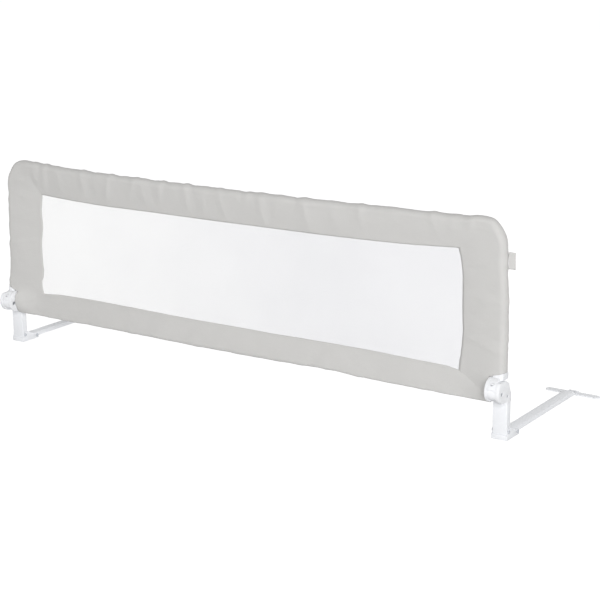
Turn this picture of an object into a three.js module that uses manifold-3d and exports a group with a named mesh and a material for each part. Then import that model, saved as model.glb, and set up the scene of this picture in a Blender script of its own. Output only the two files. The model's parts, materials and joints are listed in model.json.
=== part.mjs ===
// Folding bed guard rail.
// Millimetres. +X runs along the rail, +Y towards the bed, +Z up, and the floor is Z 0.
// Every piece is drawn with the panel over Y 0, and the whole rail is then centred over the origin.
// The right side is drawn, and the left side is its mirror image.

import * as THREE from "three";
import { mergeVertices } from "three/addons/utils/BufferGeometryUtils.js";
import Module from "manifold-3d";

const wasm = await Module();
wasm.setup();

// Clearances
const fitGap = 0.3; // between pieces that touch
const pinGap = 0.1; // round a pin that turns
const clothSlack = 0.6; // between the cloth and what it covers
const overrun = 2; // how far a cut runs past the face that it opens
const weldDistance = 0.0001; // vertices closer than this are one

// Cloth cover
const railLength = 1500;
const panelBottom = 84;
const panelTop = 504.5;
const topSag = 10.5;
const topCornerRadius = 65;
const topInset = 8; // how far each side leans in at the top
const leanRise = 5; // height over the knuckle's sleeve at which the lean starts
const bottomCornerRadius = 3;
const clothWall = 1.2;
const topRim = 14; // half the thickness over the top and side tubes
const bottomRim = 10.5; // half the thickness over the bottom tube
const rimBlendHeight = 60; // height in which the bottom rim grows to the top one
const seamHalf = 1.5; // half the thickness at the window

// Lower corners of the cover, where the cloth is cut away for the hinges
const cornerRound = 6;
const cornerBulge = 12; // how far the cloth stands forward beside the hinge
const bulgeRun = 75; // length over which it comes forward
const cornerGap = 2; // between the bottom sleeve's end and the hinge
const shoulderInset = 2.5; // how far the cut runs in above the bottom sleeve's end
const hemSlant = 10; // how much lower the side sleeve's hem is at its inner end
const shoulderDrop = 19; // from the side sleeve's hem down to where the cut is straight

// Mesh window
const topBand = 84.5; // cloth between the window and each edge of the cover
const bottomBand = 63;
const sideBandTop = 122;
const sideBandBottom = 116;
const windowCorner = 6;
const windowSag = 9.5;
const windowRise = 5;
const windowBow = 7;
const meshHalf = 0.5;

// Label tab in the right side's seam
const tabLength = 18.5;
const tabHeight = 38;
const tabHalf = 0.8;
const tabFromTop = 75; // from the panel's top to the tab's top
const tabCorner = 2;

// Frame tubes under the cloth
const frameTubeRadius = 10;
const bottomTubeRadius = 7;
const tubeWall = 1.2;
const bottomBend = 22;
const jointSleeveHalf = 60; // half the length of the sleeves that join the tube halves

// Uprights
const uprightWidth = 36;
const uprightDepth = 18;
const uprightWall = 1.5;
const uprightCorner = 2;
const uprightTop = 88;
const uprightForward = 4; // how far its front stands before the panel's middle
const uprightShift = 1; // how far its middle stands outside the frame tube's
const plugDepth = 28;
const plugWall = 2.4;

// Foot brackets
const footWall = 1.5;
const footBase = 2.5;
const footToe = 55;
const footToeHeight = 9.5;
const footFrontHeight = 12;
const footPeakHeight = 26.5;
const footMidHeight = 18;
const rivetRadius = 2.5;
const rivetHeadRadius = 4.5;
const rivetHeadHeight = 1.6;
const uprightRivetBack = 7.5; // behind the upright's front
const uprightRivetHeight = 19.4;
const armPivotBack = 7; // before the toe

// Arms
const armWidth = 25;
const armHeight = 10;
const armWall = 1.2;
const armBack = 392;
const armPressedLength = 22; // of its end, pressed flat over the crossbar
const armPressedHeight = 2.7;
const armPressRun = 10; // length over which its height falls
const armSpacerRadius = 4.6;

// Crossbars
const crossbarLength = 141;
const crossbarWidth = 20;
const crossbarThickness = 3;
const crossbarRivetRadius = 2;
const crossbarRivetHead = 3.4;
const crossbarRivetHalfSpan = 6;
const crossbarRivetForward = 1.5; // before the strip's middle

// Hinges
const drumRadius = 28;
const drumForward = 19; // the drum's centre before the panel's middle
const drumLift = 4; // the drum's lowest point over the upright
const innerCheekWall = 6;
const outerCheekWall = 10;
const pivotForward = 12; // the pivot before the drum's centre
const pivotDrop = 4; // and below it
const hubRecess = 0.3;
const outerCheekTop = 21.5; // over the drum's centre
const outerCheekFlatEnd = 9; // of its flat top, behind the drum's centre
const outerCheekSlope = [27, 11]; // a point of its rear slope, behind and over the drum's centre
const collarGap = 0.8;
const collarHeight = 8.7;
const collarOuterHalf = 14;
const collarFront = 15;
const collarFootFront = 20.5; // the same at the foot of its skirt
const collarBack = 13;
const collarCorner = 6;
const socketFloor = 3.2;
const sleeveHeight = 28; // of the knuckle's sleeve above the collar
const lugWall = 1.6;
const lugLift = 3; // of the lug over the cloth round the bottom tube
const lugWebHalf = 6;
const lugRoof = 6; // over the bottom tube's socket
const neckFront = 18.2;
const neckRoot = 16; // height over the pivot at which the neck starts
const earSlopeInset = 8;
const earSlopeRise = 3.5; // of its upper corner, over the drum's centre
const earFootDrop = 12; // of its lower corner, under the drum's centre

// Hinge bolts
const pivotBoltRadius = 3;
const pivotHeadRadius = 4.5;
const clampBoltRadius = 2;
const clampHeadRadius = 3.6;
const boltHeadHeight = 3;
const boltHeadSunk = 0.7;
const nutHeight = 2.2;
const clampBoltBack = 28; // behind the pivot
const clampBoltDrop = 12; // below it

// Release buttons
const buttonRadius = 4.5;
const buttonProud = 0.9;
const buttonCap = 2;
const buttonTravel = 2.5;
const stemRadius = 2.6;
const springLength = 4.1;
const springWire = 0.25;
const springRadius = 3.6;
const lockPinRadius = 1.5;
const lockPinOrbit = 12.2; // from the pivot
const lockPinReach = 1.5; // into each cheek
const lockNotch = 2.2;
const lockSlack = 0.4;

// Screws that hold the frame tubes
const tubeScrewHeight = 14; // above the collar
const tubeScrewRadius = 1.5;
const tubeScrewHead = 3;
const tubeScrewRim = 0.4;
const tubeScrewLength = 4.6;

// Angles about the hinge pivot, from +Y towards +Z, in degrees
const webBackAngle = 38;
const webFrontAngle = 145;
const buttonAngle = 108;
const foldAngle = 180;
const blockLowAngle = -24;
const blockHighAngle = 26;

// Shares and counts
const blockNoseShares = [
  [1.25, -30.5],
  [1.94, -41],
]; // distance in hub radii and angle in degrees
const rimSteps = 4;
const taperSteps = 6;
const cornerSteps = 6;
const sideShares = [0.04, 0.08, 0.12, 0.16, 0.2, 0.4, 0.6, 0.8]; // closer together beside the hinge
const topSteps = 14;
const bottomShares = [0.01, 0.02, 0.035, 0.06, 0.12, 0.25, 0.375, 0.5];
const tubeSides = 16;
const roundSides = 24;
const smallSides = 16;
const hexSides = 6;
const drumSteps = 24; // in half the drum's outline
const springTurns = 2;
const springSteps = 8;
const springSides = 5;

// Places worked out from the sizes above
const railHalf = railLength / 2;
const legX = railHalf - topRim;
const uprightX = legX + uprightShift;
const uprightInner = uprightX - uprightWidth / 2;
const uprightOuter = uprightX + uprightWidth / 2;
const uprightFront = -uprightForward;
const uprightBack = uprightFront + uprightDepth;
const shelfBottom = uprightTop + fitGap;
const drumY = -drumForward;
const drumZ = uprightTop + drumLift + drumRadius;
const drumBottom = drumZ - drumRadius;
const pivotY = drumY - pivotForward;
const pivotZ = drumZ - pivotDrop;
const hubRadius = drumRadius - Math.hypot(pivotForward, pivotDrop) - hubRecess;
const innerCheekFace = uprightInner + innerCheekWall;
const outerCheekFace = uprightOuter - outerCheekWall;
const knuckleInner = innerCheekFace + fitGap;
const knuckleOuter = outerCheekFace - fitGap;
const collarBottom = drumZ + drumRadius + collarGap;
const collarTop = collarBottom + collarHeight;
const hemZ = collarTop + fitGap;
const sleeveRadius = topRim - clothWall - clothSlack;
const sleeveTop = collarTop + sleeveHeight;
const bottomSleeveEnd = uprightInner - cornerGap;
const notchInner = bottomSleeveEnd - shoulderInset;
const riserX = notchInner - clothWall - clothSlack - bottomTubeRadius;
const lugRadius = bottomTubeRadius + fitGap + lugWall;
const lugBottom = hemZ + clothWall + clothSlack + lugLift;
const riserTop = sleeveTop - lugRoof;
const leanFrom = sleeveTop + leanRise;
const armBottom = crossbarThickness + fitGap;
const armTop = armBottom + armHeight;
const armPivotY = footToe - armPivotBack;
const armPivotZ = armBottom + armHeight / 2;
const armInner = uprightX - armWidth / 2;
const armOuter = uprightX + armWidth / 2;
const footInner = uprightInner - fitGap - footWall;
const footOuter = uprightOuter + fitGap + footWall;
const armPressedTop = armBottom + armPressedHeight;
const armPressEnd = armBack - armPressedLength;
const armPressStart = armPressEnd - armPressRun;
const crossbarY = armBack - crossbarWidth / 2;
const frontY = drumY - drumRadius;

// Finishes
function finish(color, roughness, metalness) {
  return new THREE.MeshStandardMaterial({ color, roughness, metalness, flatShading: true });
}
const clothFinish = finish(0xcbc9c7, 0.95, 0);
const meshFinish = finish(0xf3f4f6, 0.9, 0);
const steelFinish = finish(0xe9ebee, 0.4, 0.1);
const plasticFinish = finish(0xeef0f3, 0.5, 0);
const zincFinish = finish(0xb9bcc0, 0.35, 0.9);
const tubeFinish = finish(0xdcdee1, 0.4, 0.2);

// Turns a closed geometry into a solid that can be joined and cut.
function solidOf(geometry) {
  const bare = new THREE.BufferGeometry();
  const source = geometry.index ? geometry.toNonIndexed() : geometry;
  bare.setAttribute("position", source.getAttribute("position"));
  const merged = mergeVertices(bare, weldDistance);
  return new wasm.Manifold(
    new wasm.Mesh({
      numProp: 3,
      vertProperties: new Float32Array(merged.attributes.position.array),
      triVerts: new Uint32Array(merged.index.array),
    }),
  );
}

// Turns a solid into a named mesh.
function piece(name, solid, material) {
  const data = solid.getMesh();
  const geometry = new THREE.BufferGeometry();
  geometry.setAttribute("position", new THREE.BufferAttribute(new Float32Array(data.vertProperties), 3));
  geometry.setIndex(new THREE.BufferAttribute(new Uint32Array(data.triVerts), 1));
  geometry.computeVertexNormals();
  const mesh = new THREE.Mesh(geometry, material);
  mesh.name = name;
  return mesh;
}

function join(first, ...others) {
  return others.reduce((sum, other) => sum.add(other), first);
}

function cut(first, ...tools) {
  return tools.reduce((rest, tool) => rest.subtract(tool), first);
}

// Outlines
function radians(degrees) {
  return THREE.MathUtils.degToRad(degrees);
}

function arcPoints(x, y, radius, fromDegrees, toDegrees, steps) {
  return Array.from({ length: steps + 1 }, (_, index) => {
    const angle = radians(fromDegrees + ((toDegrees - fromDegrees) * index) / steps);
    return new THREE.Vector2(x + radius * Math.cos(angle), y + radius * Math.sin(angle));
  });
}

function circlePoints(x, y, radius, sides) {
  return arcPoints(x, y, radius, 0, 360, sides).slice(1);
}

function stadiumPoints(from, to, radius) {
  const turn = THREE.MathUtils.radToDeg(Math.atan2(to.y - from.y, to.x - from.x));
  return [
    ...arcPoints(from.x, from.y, radius, turn + 90, turn + 270, smallSides / 2),
    ...arcPoints(to.x, to.y, radius, turn - 90, turn + 90, smallSides / 2),
  ];
}

function boxPoints(lowX, highX, lowY, highY) {
  return [
    new THREE.Vector2(lowX, lowY),
    new THREE.Vector2(highX, lowY),
    new THREE.Vector2(highX, highY),
    new THREE.Vector2(lowX, highY),
  ];
}

function roundedBoxPoints(lowX, highX, lowY, highY, radius) {
  const steps = smallSides / 4;
  return [
    ...arcPoints(highX - radius, lowY + radius, radius, -90, 0, steps),
    ...arcPoints(highX - radius, highY - radius, radius, 0, 90, steps),
    ...arcPoints(lowX + radius, highY - radius, radius, 90, 180, steps),
    ...arcPoints(lowX + radius, lowY + radius, radius, 180, 270, steps),
  ];
}

// A slot bent round the hinge pivot.
function bentSlotPoints(radius, halfWidth, fromDegrees, toDegrees) {
  const end = polar(radius, toDegrees);
  const start = polar(radius, fromDegrees);
  const endCap = arcPoints(end.x, end.y, halfWidth, toDegrees, toDegrees + 180, smallSides / 2);
  const opposite = fromDegrees + 180;
  const startCap = arcPoints(start.x, start.y, halfWidth, opposite, opposite + 180, smallSides / 2);
  return [
    ...arcPoints(pivotY, pivotZ, radius + halfWidth, fromDegrees, toDegrees, roundSides),
    ...endCap.slice(1, -1),
    ...arcPoints(pivotY, pivotZ, radius - halfWidth, toDegrees, fromDegrees, roundSides),
    ...startCap.slice(1, -1),
  ];
}

// A point in the Y Z plane, from the hinge pivot.
function polar(distance, degrees) {
  const angle = radians(degrees);
  return new THREE.Vector2(pivotY + distance * Math.cos(angle), pivotZ + distance * Math.sin(angle));
}

// Solids drawn from outlines
const axisFrames = {
  x: new THREE.Matrix4().makeBasis(unit("y"), unit("z"), unit("x")),
  y: new THREE.Matrix4().makeBasis(unit("z"), unit("x"), unit("y")),
  z: new THREE.Matrix4(),
};

function unit(axis) {
  return new THREE.Vector3(Number(axis === "x"), Number(axis === "y"), Number(axis === "z"));
}

// An outline drawn out along an axis. Its points are Y Z for x, X Z for y and X Y for z.
function prism(axis, outline, low, high, ...holes) {
  const swapped = (points) => points.map((point) => new THREE.Vector2(point.y, point.x)).reverse();
  const ordered = (points) => (axis === "y" ? swapped(points) : points);
  const shape = new THREE.Shape(ordered(outline));
  shape.holes = holes.map((hole) => new THREE.Path(ordered(hole)));
  const geometry = new THREE.ExtrudeGeometry(shape, { depth: high - low, bevelEnabled: false });
  geometry.translate(0, 0, low);
  geometry.applyMatrix4(axisFrames[axis]);
  return solidOf(geometry);
}

// A turned shape: its profile is pairs of radius and place along the direction, from the origin point.
function turned(profile, origin, direction, sides) {
  const points = profile.map(([radius, place]) => new THREE.Vector2(radius, place));
  const geometry = new THREE.LatheGeometry(points, sides);
  const turn = new THREE.Quaternion().setFromUnitVectors(unit("y"), direction);
  geometry.applyQuaternion(turn);
  geometry.translate(origin.x, origin.y, origin.z);
  return solidOf(geometry);
}

function rod(radius, low, high, origin, direction, sides) {
  const profile = [
    [0, low],
    [radius, low],
    [radius, high],
    [0, high],
  ];
  return turned(profile, origin, direction, sides);
}

// A path through given points, so that a drawn tube has one ring at each of them.
class Route extends THREE.Curve {
  constructor(points) {
    super();
    this.points = points;
  }

  getPoint(share, target = new THREE.Vector3()) {
    const place = share * (this.points.length - 1);
    const index = Math.min(Math.floor(place), this.points.length - 2);
    return target.lerpVectors(this.points[index], this.points[index + 1], place - index);
  }

  getPointAt(share, target) {
    return this.getPoint(share, target);
  }

  getTangent(share, target = new THREE.Vector3()) {
    const last = this.points.length - 1;
    const index = Math.round(share * last);
    const here = this.points[index];
    const before = this.points[Math.max(index - 1, 0)];
    const after = this.points[Math.min(index + 1, last)];
    const coming = new THREE.Vector3().subVectors(here, before).normalize();
    const going = new THREE.Vector3().subVectors(after, here).normalize();
    return target.addVectors(coming, going).normalize();
  }

  getTangentAt(share, target) {
    return this.getTangent(share, target);
  }
}

function tubeAlong(points, radius, wall, sides) {
  const shape = new THREE.Shape(circlePoints(0, 0, radius, sides));
  if (wall > 0) {
    shape.holes = [new THREE.Path(circlePoints(0, 0, radius - wall, sides))];
  }
  const settings = { steps: points.length - 1, extrudePath: new Route(points), bevelEnabled: false };
  return solidOf(new THREE.ExtrudeGeometry(shape, settings));
}

// The cloth's outer edge and the window's edge: rounded loops whose long sides sag or bow a little.
const panelEdge = {
  halfTop: railHalf,
  halfBottom: railHalf,
  top: panelTop,
  bottom: panelBottom,
  topCorner: topCornerRadius,
  bottomCorner: bottomCornerRadius,
  sag: topSag,
  rise: 0,
  bow: 0,
  lean: topInset,
  leanFrom,
};

function windowEdge(inset) {
  return {
    halfTop: railHalf - sideBandTop - inset,
    halfBottom: railHalf - sideBandBottom - inset,
    top: panelTop - topBand - inset,
    bottom: panelBottom + bottomBand + inset,
    topCorner: windowCorner,
    bottomCorner: windowCorner,
    sag: windowSag,
    rise: windowRise,
    bow: windowBow,
    lean: 0,
    leanFrom: 0,
  };
}

function bent(edge, x, z) {
  const middle = (edge.top + edge.bottom) / 2;
  const up = (z - middle) / (edge.top - middle);
  const half = THREE.MathUtils.lerp(edge.halfBottom, edge.halfTop, (up + 1) / 2);
  const along = x / half;
  const droop = edge.rise * Math.max(0, -up) - edge.sag * Math.max(0, up);
  const lean = edge.lean * Math.max(0, (z - edge.leanFrom) / (edge.top - edge.leanFrom));
  return new THREE.Vector2(
    x + along * (edge.bow * Math.max(0, 1 - up * up) - lean),
    z + droop * Math.max(0, 1 - along * along),
  );
}

function backwards(shares) {
  return shares.map((share) => 1 - share).reverse();
}
const runShares = [
  sideShares,
  Array.from({ length: topSteps - 1 }, (_, step) => (step + 1) / topSteps),
  backwards(sideShares),
  [...bottomShares, ...backwards(bottomShares).slice(1)],
];

function loopPoints(edge) {
  const lowX = edge.halfBottom - edge.bottomCorner;
  const highX = edge.halfTop - edge.topCorner;
  const lowZ = edge.bottom + edge.bottomCorner;
  const highZ = edge.top - edge.topCorner;
  const quarters = [
    arcPoints(lowX, lowZ, edge.bottomCorner, -90, 0, cornerSteps),
    arcPoints(highX, highZ, edge.topCorner, 0, 90, cornerSteps),
    arcPoints(-highX, highZ, edge.topCorner, 90, 180, cornerSteps),
    arcPoints(-lowX, lowZ, edge.bottomCorner, 180, 270, cornerSteps),
  ];
  const points = quarters.flatMap((quarter, index) => {
    const next = quarters[(index + 1) % quarters.length][0];
    const last = quarter[quarter.length - 1];
    return [...quarter, ...runShares[index].map((share) => last.clone().lerp(next, share))];
  });
  return points.map((point) => bent(edge, point.x, point.y));
}

// How far the cover's front stands forward beside a hinge.
function bulgeAt(x, z) {
  const near = THREE.MathUtils.smoothstep(Math.abs(x), bottomSleeveEnd - bulgeRun, bottomSleeveEnd);
  const rise = THREE.MathUtils.clamp((z - panelBottom) / (hemZ - panelBottom), 0, 1);
  return cornerBulge * near * Math.sin(Math.PI * rise);
}

// The cover's skin, or the hollow inside it: round over the tubes, then thinning towards the window.
function coverBody(inset) {
  const outer = loopPoints(panelEdge);
  const inner = loopPoints(windowEdge(0));
  const positions = [];
  let sectionSize = 0;
  outer.forEach((edgePoint, index) => {
    const inward = inner[index].clone().sub(edgePoint);
    const width = inward.length() - inset;
    inward.normalize();
    const lift = THREE.MathUtils.smoothstep(edgePoint.y, panelBottom, panelBottom + rimBlendHeight);
    const rim = THREE.MathUtils.lerp(bottomRim, topRim, lift);
    const half = rim - inset;
    const seam = seamHalf - inset;
    const upper = [];
    for (let step = 1; step <= rimSteps; step++) {
      const angle = radians((90 * step) / rimSteps);
      upper.push([rim - half * Math.cos(angle), half * Math.sin(angle)]);
    }
    for (let step = 1; step <= taperSteps; step++) {
      const share = step / taperSteps;
      upper.push([rim + share * (width - rim), seam + (half - seam) * Math.cos(radians(90 * share))]);
    }
    const lower = upper.map(([place, height]) => [place, -height]).reverse();
    const section = [[rim - half, 0], ...upper, ...lower];
    sectionSize = section.length;
    section.forEach(([place, height]) => {
      const x = edgePoint.x + inward.x * place;
      const z = edgePoint.y + inward.y * place;
      const forward = (bulgeAt(x, z) * Math.max(0, -height)) / half;
      positions.push(x, height - forward, z);
    });
  });
  const triangles = [];
  for (let station = 0; station < outer.length; station++) {
    const here = station * sectionSize;
    const there = ((station + 1) % outer.length) * sectionSize;
    for (let step = 0; step < sectionSize; step++) {
      const next = (step + 1) % sectionSize;
      triangles.push(here + step, there + next, there + step);
      triangles.push(here + step, here + next, there + next);
    }
  }
  const geometry = new THREE.BufferGeometry();
  geometry.setAttribute("position", new THREE.Float32BufferAttribute(positions, 3));
  geometry.setIndex(triangles);
  return solidOf(geometry);
}

// Height of the side sleeve's hem, which falls towards its inner end.
function hemAt(x) {
  return hemZ - (hemSlant * (railHalf - x)) / (railHalf - notchInner);
}

// What is cut from a lower corner of the cover. The hollow keeps a wall round the bottom sleeve's end,
// and runs out through the hem round the knuckle's sleeve.
function cornerCut(side, wall) {
  const far = railHalf + overrun;
  const low = panelBottom - overrun;
  const roundX = bottomSleeveEnd - cornerRound;
  const roundZ = panelBottom + cornerRound;
  const openingX = legX - sleeveRadius - clothSlack;
  const through = wall > 0 ? overrun : 0;
  const outline = [
    new THREE.Vector2(notchInner - wall, hemAt(notchInner) + wall),
    new THREE.Vector2(openingX, hemAt(openingX) + wall),
    new THREE.Vector2(openingX, hemAt(openingX) - through),
    new THREE.Vector2(far, hemAt(far) - through),
    new THREE.Vector2(far, low),
    new THREE.Vector2(roundX, low),
    ...arcPoints(roundX, roundZ, cornerRound - wall, -90, 0, cornerSteps),
    new THREE.Vector2(bottomSleeveEnd - wall, hemZ - shoulderDrop),
  ];
  const mirrored = outline.map((point) => new THREE.Vector2(point.x * side, point.y));
  const reach = topRim + cornerBulge + overrun;
  return prism("y", mirrored, -reach, reach);
}

function fabricCover() {
  const skin = cut(coverBody(0), cornerCut(1, 0), cornerCut(-1, 0));
  const hollow = cut(coverBody(clothWall), cornerCut(1, clothWall), cornerCut(-1, clothWall));
  return cut(skin, hollow);
}

function meshWindow() {
  return prism("y", loopPoints(windowEdge(fitGap)), -meshHalf, meshHalf);
}

function labelTab() {
  const low = railHalf + fitGap;
  const top = panelTop - tabFromTop;
  const outline = roundedBoxPoints(low, low + tabLength, top - tabHeight, top, tabCorner);
  return prism("y", outline.map((point) => bent(panelEdge, point.x, point.y)), -tabHalf, tabHalf);
}

// The upper frame tube's middle line in the right half, from the hinge to the middle of the rail.
function frameRoute(fromX) {
  const bend = topCornerRadius - topRim;
  const level = panelTop - topRim;
  const run = Array.from({ length: topSteps / 2 }, (_, step) => {
    const share = (step + 1) / (topSteps / 2);
    return new THREE.Vector2(THREE.MathUtils.lerp(legX - bend, fromX, share), level);
  });
  const corner = arcPoints(legX - bend, level - bend, bend, 0, 90, cornerSteps);
  return [...corner, ...run].map((point) => bent(panelEdge, point.x, point.y));
}

function standing(points) {
  return points.map((point) => new THREE.Vector3(point.x, 0, point.y));
}

function frameTube() {
  const foot = new THREE.Vector2(legX, collarBottom + socketFloor + fitGap);
  const knee = new THREE.Vector2(legX, leanFrom);
  const route = standing([foot, knee, ...frameRoute(fitGap / 2)]);
  const tube = tubeAlong(route, frameTubeRadius, tubeWall, tubeSides);
  const origin = new THREE.Vector3(legX, 0, collarTop + tubeScrewHeight);
  return cut(tube, rod(tubeScrewRadius + fitGap, 0, topRim, origin, unit("y"), smallSides));
}

function bottomTube() {
  const level = panelBottom + bottomRim;
  const corner = arcPoints(riserX - bottomBend, level + bottomBend, bottomBend, -90, 0, cornerSteps);
  const points = [new THREE.Vector2(fitGap / 2, level), ...corner, new THREE.Vector2(riserX, riserTop)];
  return tubeAlong(standing(points), bottomTubeRadius, tubeWall, tubeSides);
}

function frameJointSleeve() {
  const level = panelTop - topRim;
  const points = [-jointSleeveHalf, 0, jointSleeveHalf].map((x) => bent(panelEdge, x, level));
  return tubeAlong(standing(points), frameTubeRadius - tubeWall - fitGap, tubeWall, tubeSides);
}

function bottomJointSleeve() {
  const level = panelBottom + bottomRim;
  const points = [-jointSleeveHalf, jointSleeveHalf].map((x) => new THREE.Vector2(x, level));
  return tubeAlong(standing(points), bottomTubeRadius - tubeWall - fitGap, tubeWall, tubeSides);
}

// Foot, upright and arm
function alongX(y, z) {
  return new THREE.Vector3(0, y, z);
}

function hingeAlongX(radius, low, high, y, z, sides = smallSides) {
  return rod(radius, low, high, alongX(y, z), unit("x"), sides);
}

function footBracket() {
  const front = uprightFront - fitGap - footWall;
  const rivetY = uprightFront + uprightRivetBack;
  const cheek = [
    new THREE.Vector2(front, 0),
    new THREE.Vector2(footToe, 0),
    new THREE.Vector2(footToe, footToeHeight),
    new THREE.Vector2(armPivotY, armPivotZ + armHeight / 2),
    new THREE.Vector2((armPivotY + uprightBack) / 2, footMidHeight),
    new THREE.Vector2(uprightBack, footPeakHeight),
    new THREE.Vector2(rivetY, footPeakHeight),
    new THREE.Vector2(uprightFront, footFrontHeight),
    new THREE.Vector2(front, footFrontHeight),
  ];
  const low = footInner - overrun;
  const high = footOuter + overrun;
  const rivetHole = hingeAlongX(rivetRadius + fitGap, low, high, rivetY, uprightRivetHeight);
  const pivotHole = hingeAlongX(rivetRadius + pinGap, low, high, armPivotY, armPivotZ);
  return cut(
    join(
      prism("x", cheek, footInner, footInner + footWall),
      prism("x", cheek, footOuter - footWall, footOuter),
      prism("z", boxPoints(footInner, footOuter, front, footToe), 0, footBase),
      prism("z", boxPoints(footInner, footOuter, front, front + footWall), 0, footFrontHeight),
    ),
    rivetHole,
    pivotHole,
  );
}

function upright() {
  const outer = roundedBoxPoints(uprightInner, uprightOuter, uprightFront, uprightBack, uprightCorner);
  const inner = boxPoints(
    uprightInner + uprightWall,
    uprightOuter - uprightWall,
    uprightFront + uprightWall,
    uprightBack - uprightWall,
  );
  const tube = prism("z", outer, footBase + fitGap, uprightTop, inner);
  const low = uprightInner - overrun;
  const high = uprightOuter + overrun;
  const rivetY = uprightFront + uprightRivetBack;
  return cut(tube, hingeAlongX(rivetRadius + fitGap, low, high, rivetY, uprightRivetHeight));
}

// A rivet across the foot, with a round head outside each cheek.
function footRivet(y, z) {
  const low = footInner - fitGap;
  const high = footOuter + fitGap;
  const rim = rivetHeadHeight / 2;
  const profile = [
    [0, low - rivetHeadHeight],
    [rivetHeadRadius / 2, low - rivetHeadHeight],
    [rivetHeadRadius, low - rim],
    [rivetHeadRadius, low],
    [rivetRadius, low],
    [rivetRadius, high],
    [rivetHeadRadius, high],
    [rivetHeadRadius, high + rim],
    [rivetHeadRadius / 2, high + rivetHeadHeight],
    [0, high + rivetHeadHeight],
  ];
  return turned(profile, alongX(y, z), unit("x"), smallSides);
}

function armSpacer(low, high) {
  return prism(
    "x",
    circlePoints(armPivotY, armPivotZ, armSpacerRadius, smallSides),
    low,
    high,
    circlePoints(armPivotY, armPivotZ, rivetRadius + fitGap, smallSides),
  );
}

function crossbarRivetPlaces() {
  return [-crossbarRivetHalfSpan, crossbarRivetHalfSpan].map(
    (offset) => new THREE.Vector3(uprightX + offset, crossbarY - crossbarRivetForward, 0),
  );
}

// A flat tube, rounded over its pivot and pressed flat over the crossbar.
function arm() {
  const rounded = arcPoints(armPivotY, armPivotZ, armHeight / 2, 90, 270, 2 * cornerSteps);
  const side = [
    ...rounded,
    new THREE.Vector2(armBack, armBottom),
    new THREE.Vector2(armBack, armPressedTop),
    new THREE.Vector2(armPressEnd, armPressedTop),
    new THREE.Vector2(armPressStart, armTop),
  ];
  const front = armPivotY - armHeight / 2 - overrun;
  const hollow = [
    new THREE.Vector2(front, armBottom + armWall),
    new THREE.Vector2(armPressEnd, armBottom + armWall),
    new THREE.Vector2(armPressEnd, armPressedTop - armWall),
    new THREE.Vector2(armPressStart, armTop - armWall),
    new THREE.Vector2(front, armTop - armWall),
  ];
  const rivetHoles = crossbarRivetPlaces().map((place) =>
    rod(crossbarRivetRadius + fitGap, 0, armPressedTop + overrun, place, unit("z"), smallSides),
  );
  return cut(
    prism("x", side, armInner, armOuter),
    prism("x", hollow, armInner + armWall, armOuter - armWall),
    hingeAlongX(rivetRadius + pinGap, armInner - overrun, armOuter + overrun, armPivotY, armPivotZ),
    ...rivetHoles,
  );
}

function crossbar() {
  const reach = crossbarLength / 2 - crossbarWidth / 2;
  const from = new THREE.Vector2(uprightX - reach, crossbarY);
  const to = new THREE.Vector2(uprightX + reach, crossbarY);
  const strip = prism("z", stadiumPoints(from, to, crossbarWidth / 2), 0, crossbarThickness);
  const sink = [
    [0, -overrun],
    [crossbarRivetHead + fitGap + overrun, -overrun],
    [crossbarRivetRadius + fitGap, crossbarRivetHead - crossbarRivetRadius],
    [crossbarRivetRadius + fitGap, crossbarThickness + overrun],
    [0, crossbarThickness + overrun],
  ];
  return cut(strip, ...crossbarRivetPlaces().map((place) => turned(sink, place, unit("z"), smallSides)));
}

// A rivet countersunk under the strip, with a low round head over the arm's pressed end.
function crossbarRivet(place) {
  const seat = armPressedTop + fitGap;
  const profile = [
    [0, fitGap],
    [crossbarRivetHead - fitGap, fitGap],
    [crossbarRivetRadius, crossbarRivetHead - crossbarRivetRadius],
    [crossbarRivetRadius, seat],
    [crossbarRivetHead, seat],
    [crossbarRivetHead / 2, seat + crossbarRivetRadius / 2],
    [0, seat + crossbarRivetRadius / 2],
  ];
  return turned(profile, place, unit("z"), smallSides);
}

// Hinge
const buttonDirection = new THREE.Vector3(0, Math.cos(radians(buttonAngle)), Math.sin(radians(buttonAngle)));
const pivotPoint = alongX(pivotY, pivotZ);
const clampY = pivotY + clampBoltBack;
const clampZ = pivotZ - clampBoltDrop;

// Distance from the pivot to the drum's outline in the button's direction.
function drumReach() {
  const offset = new THREE.Vector2(pivotY - drumY, pivotZ - drumZ);
  const toward = offset.x * buttonDirection.y + offset.y * buttonDirection.z;
  return -toward + Math.sqrt(toward * toward + drumRadius * drumRadius - offset.lengthSq());
}
const buttonTop = drumReach() + buttonProud;
const capBottom = buttonTop - buttonCap;
const springSeat = capBottom - springLength - 2 * fitGap;
const stemEnd = lockPinOrbit - lockPinRadius - lockSlack;

function cheekOutline() {
  return [
    new THREE.Vector2(uprightFront, shelfBottom),
    new THREE.Vector2(uprightFront, drumBottom),
    ...arcPoints(drumY, drumZ, drumRadius, -90, -270, drumSteps),
    ...arcPoints(drumY, drumZ, drumRadius, 90, webBackAngle, drumSteps / 3).slice(1),
    new THREE.Vector2(uprightBack - earSlopeInset, drumZ + earSlopeRise),
    new THREE.Vector2(uprightBack, drumZ - earFootDrop),
    new THREE.Vector2(uprightBack, shelfBottom),
  ];
}

// What is taken off the outer cheek's top, where the collar reaches down over it.
function outerCheekCut() {
  const far = 2 * drumRadius;
  const [slopeY, slopeZ] = outerCheekSlope;
  const top = drumZ + outerCheekTop;
  return [
    new THREE.Vector2(drumY - far, top),
    new THREE.Vector2(drumY + outerCheekFlatEnd, top),
    new THREE.Vector2(drumY + slopeY, drumZ + slopeZ),
    new THREE.Vector2(drumY + far, drumZ + slopeZ),
    new THREE.Vector2(drumY + far, drumZ + far),
    new THREE.Vector2(drumY - far, drumZ + far),
  ];
}

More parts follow.
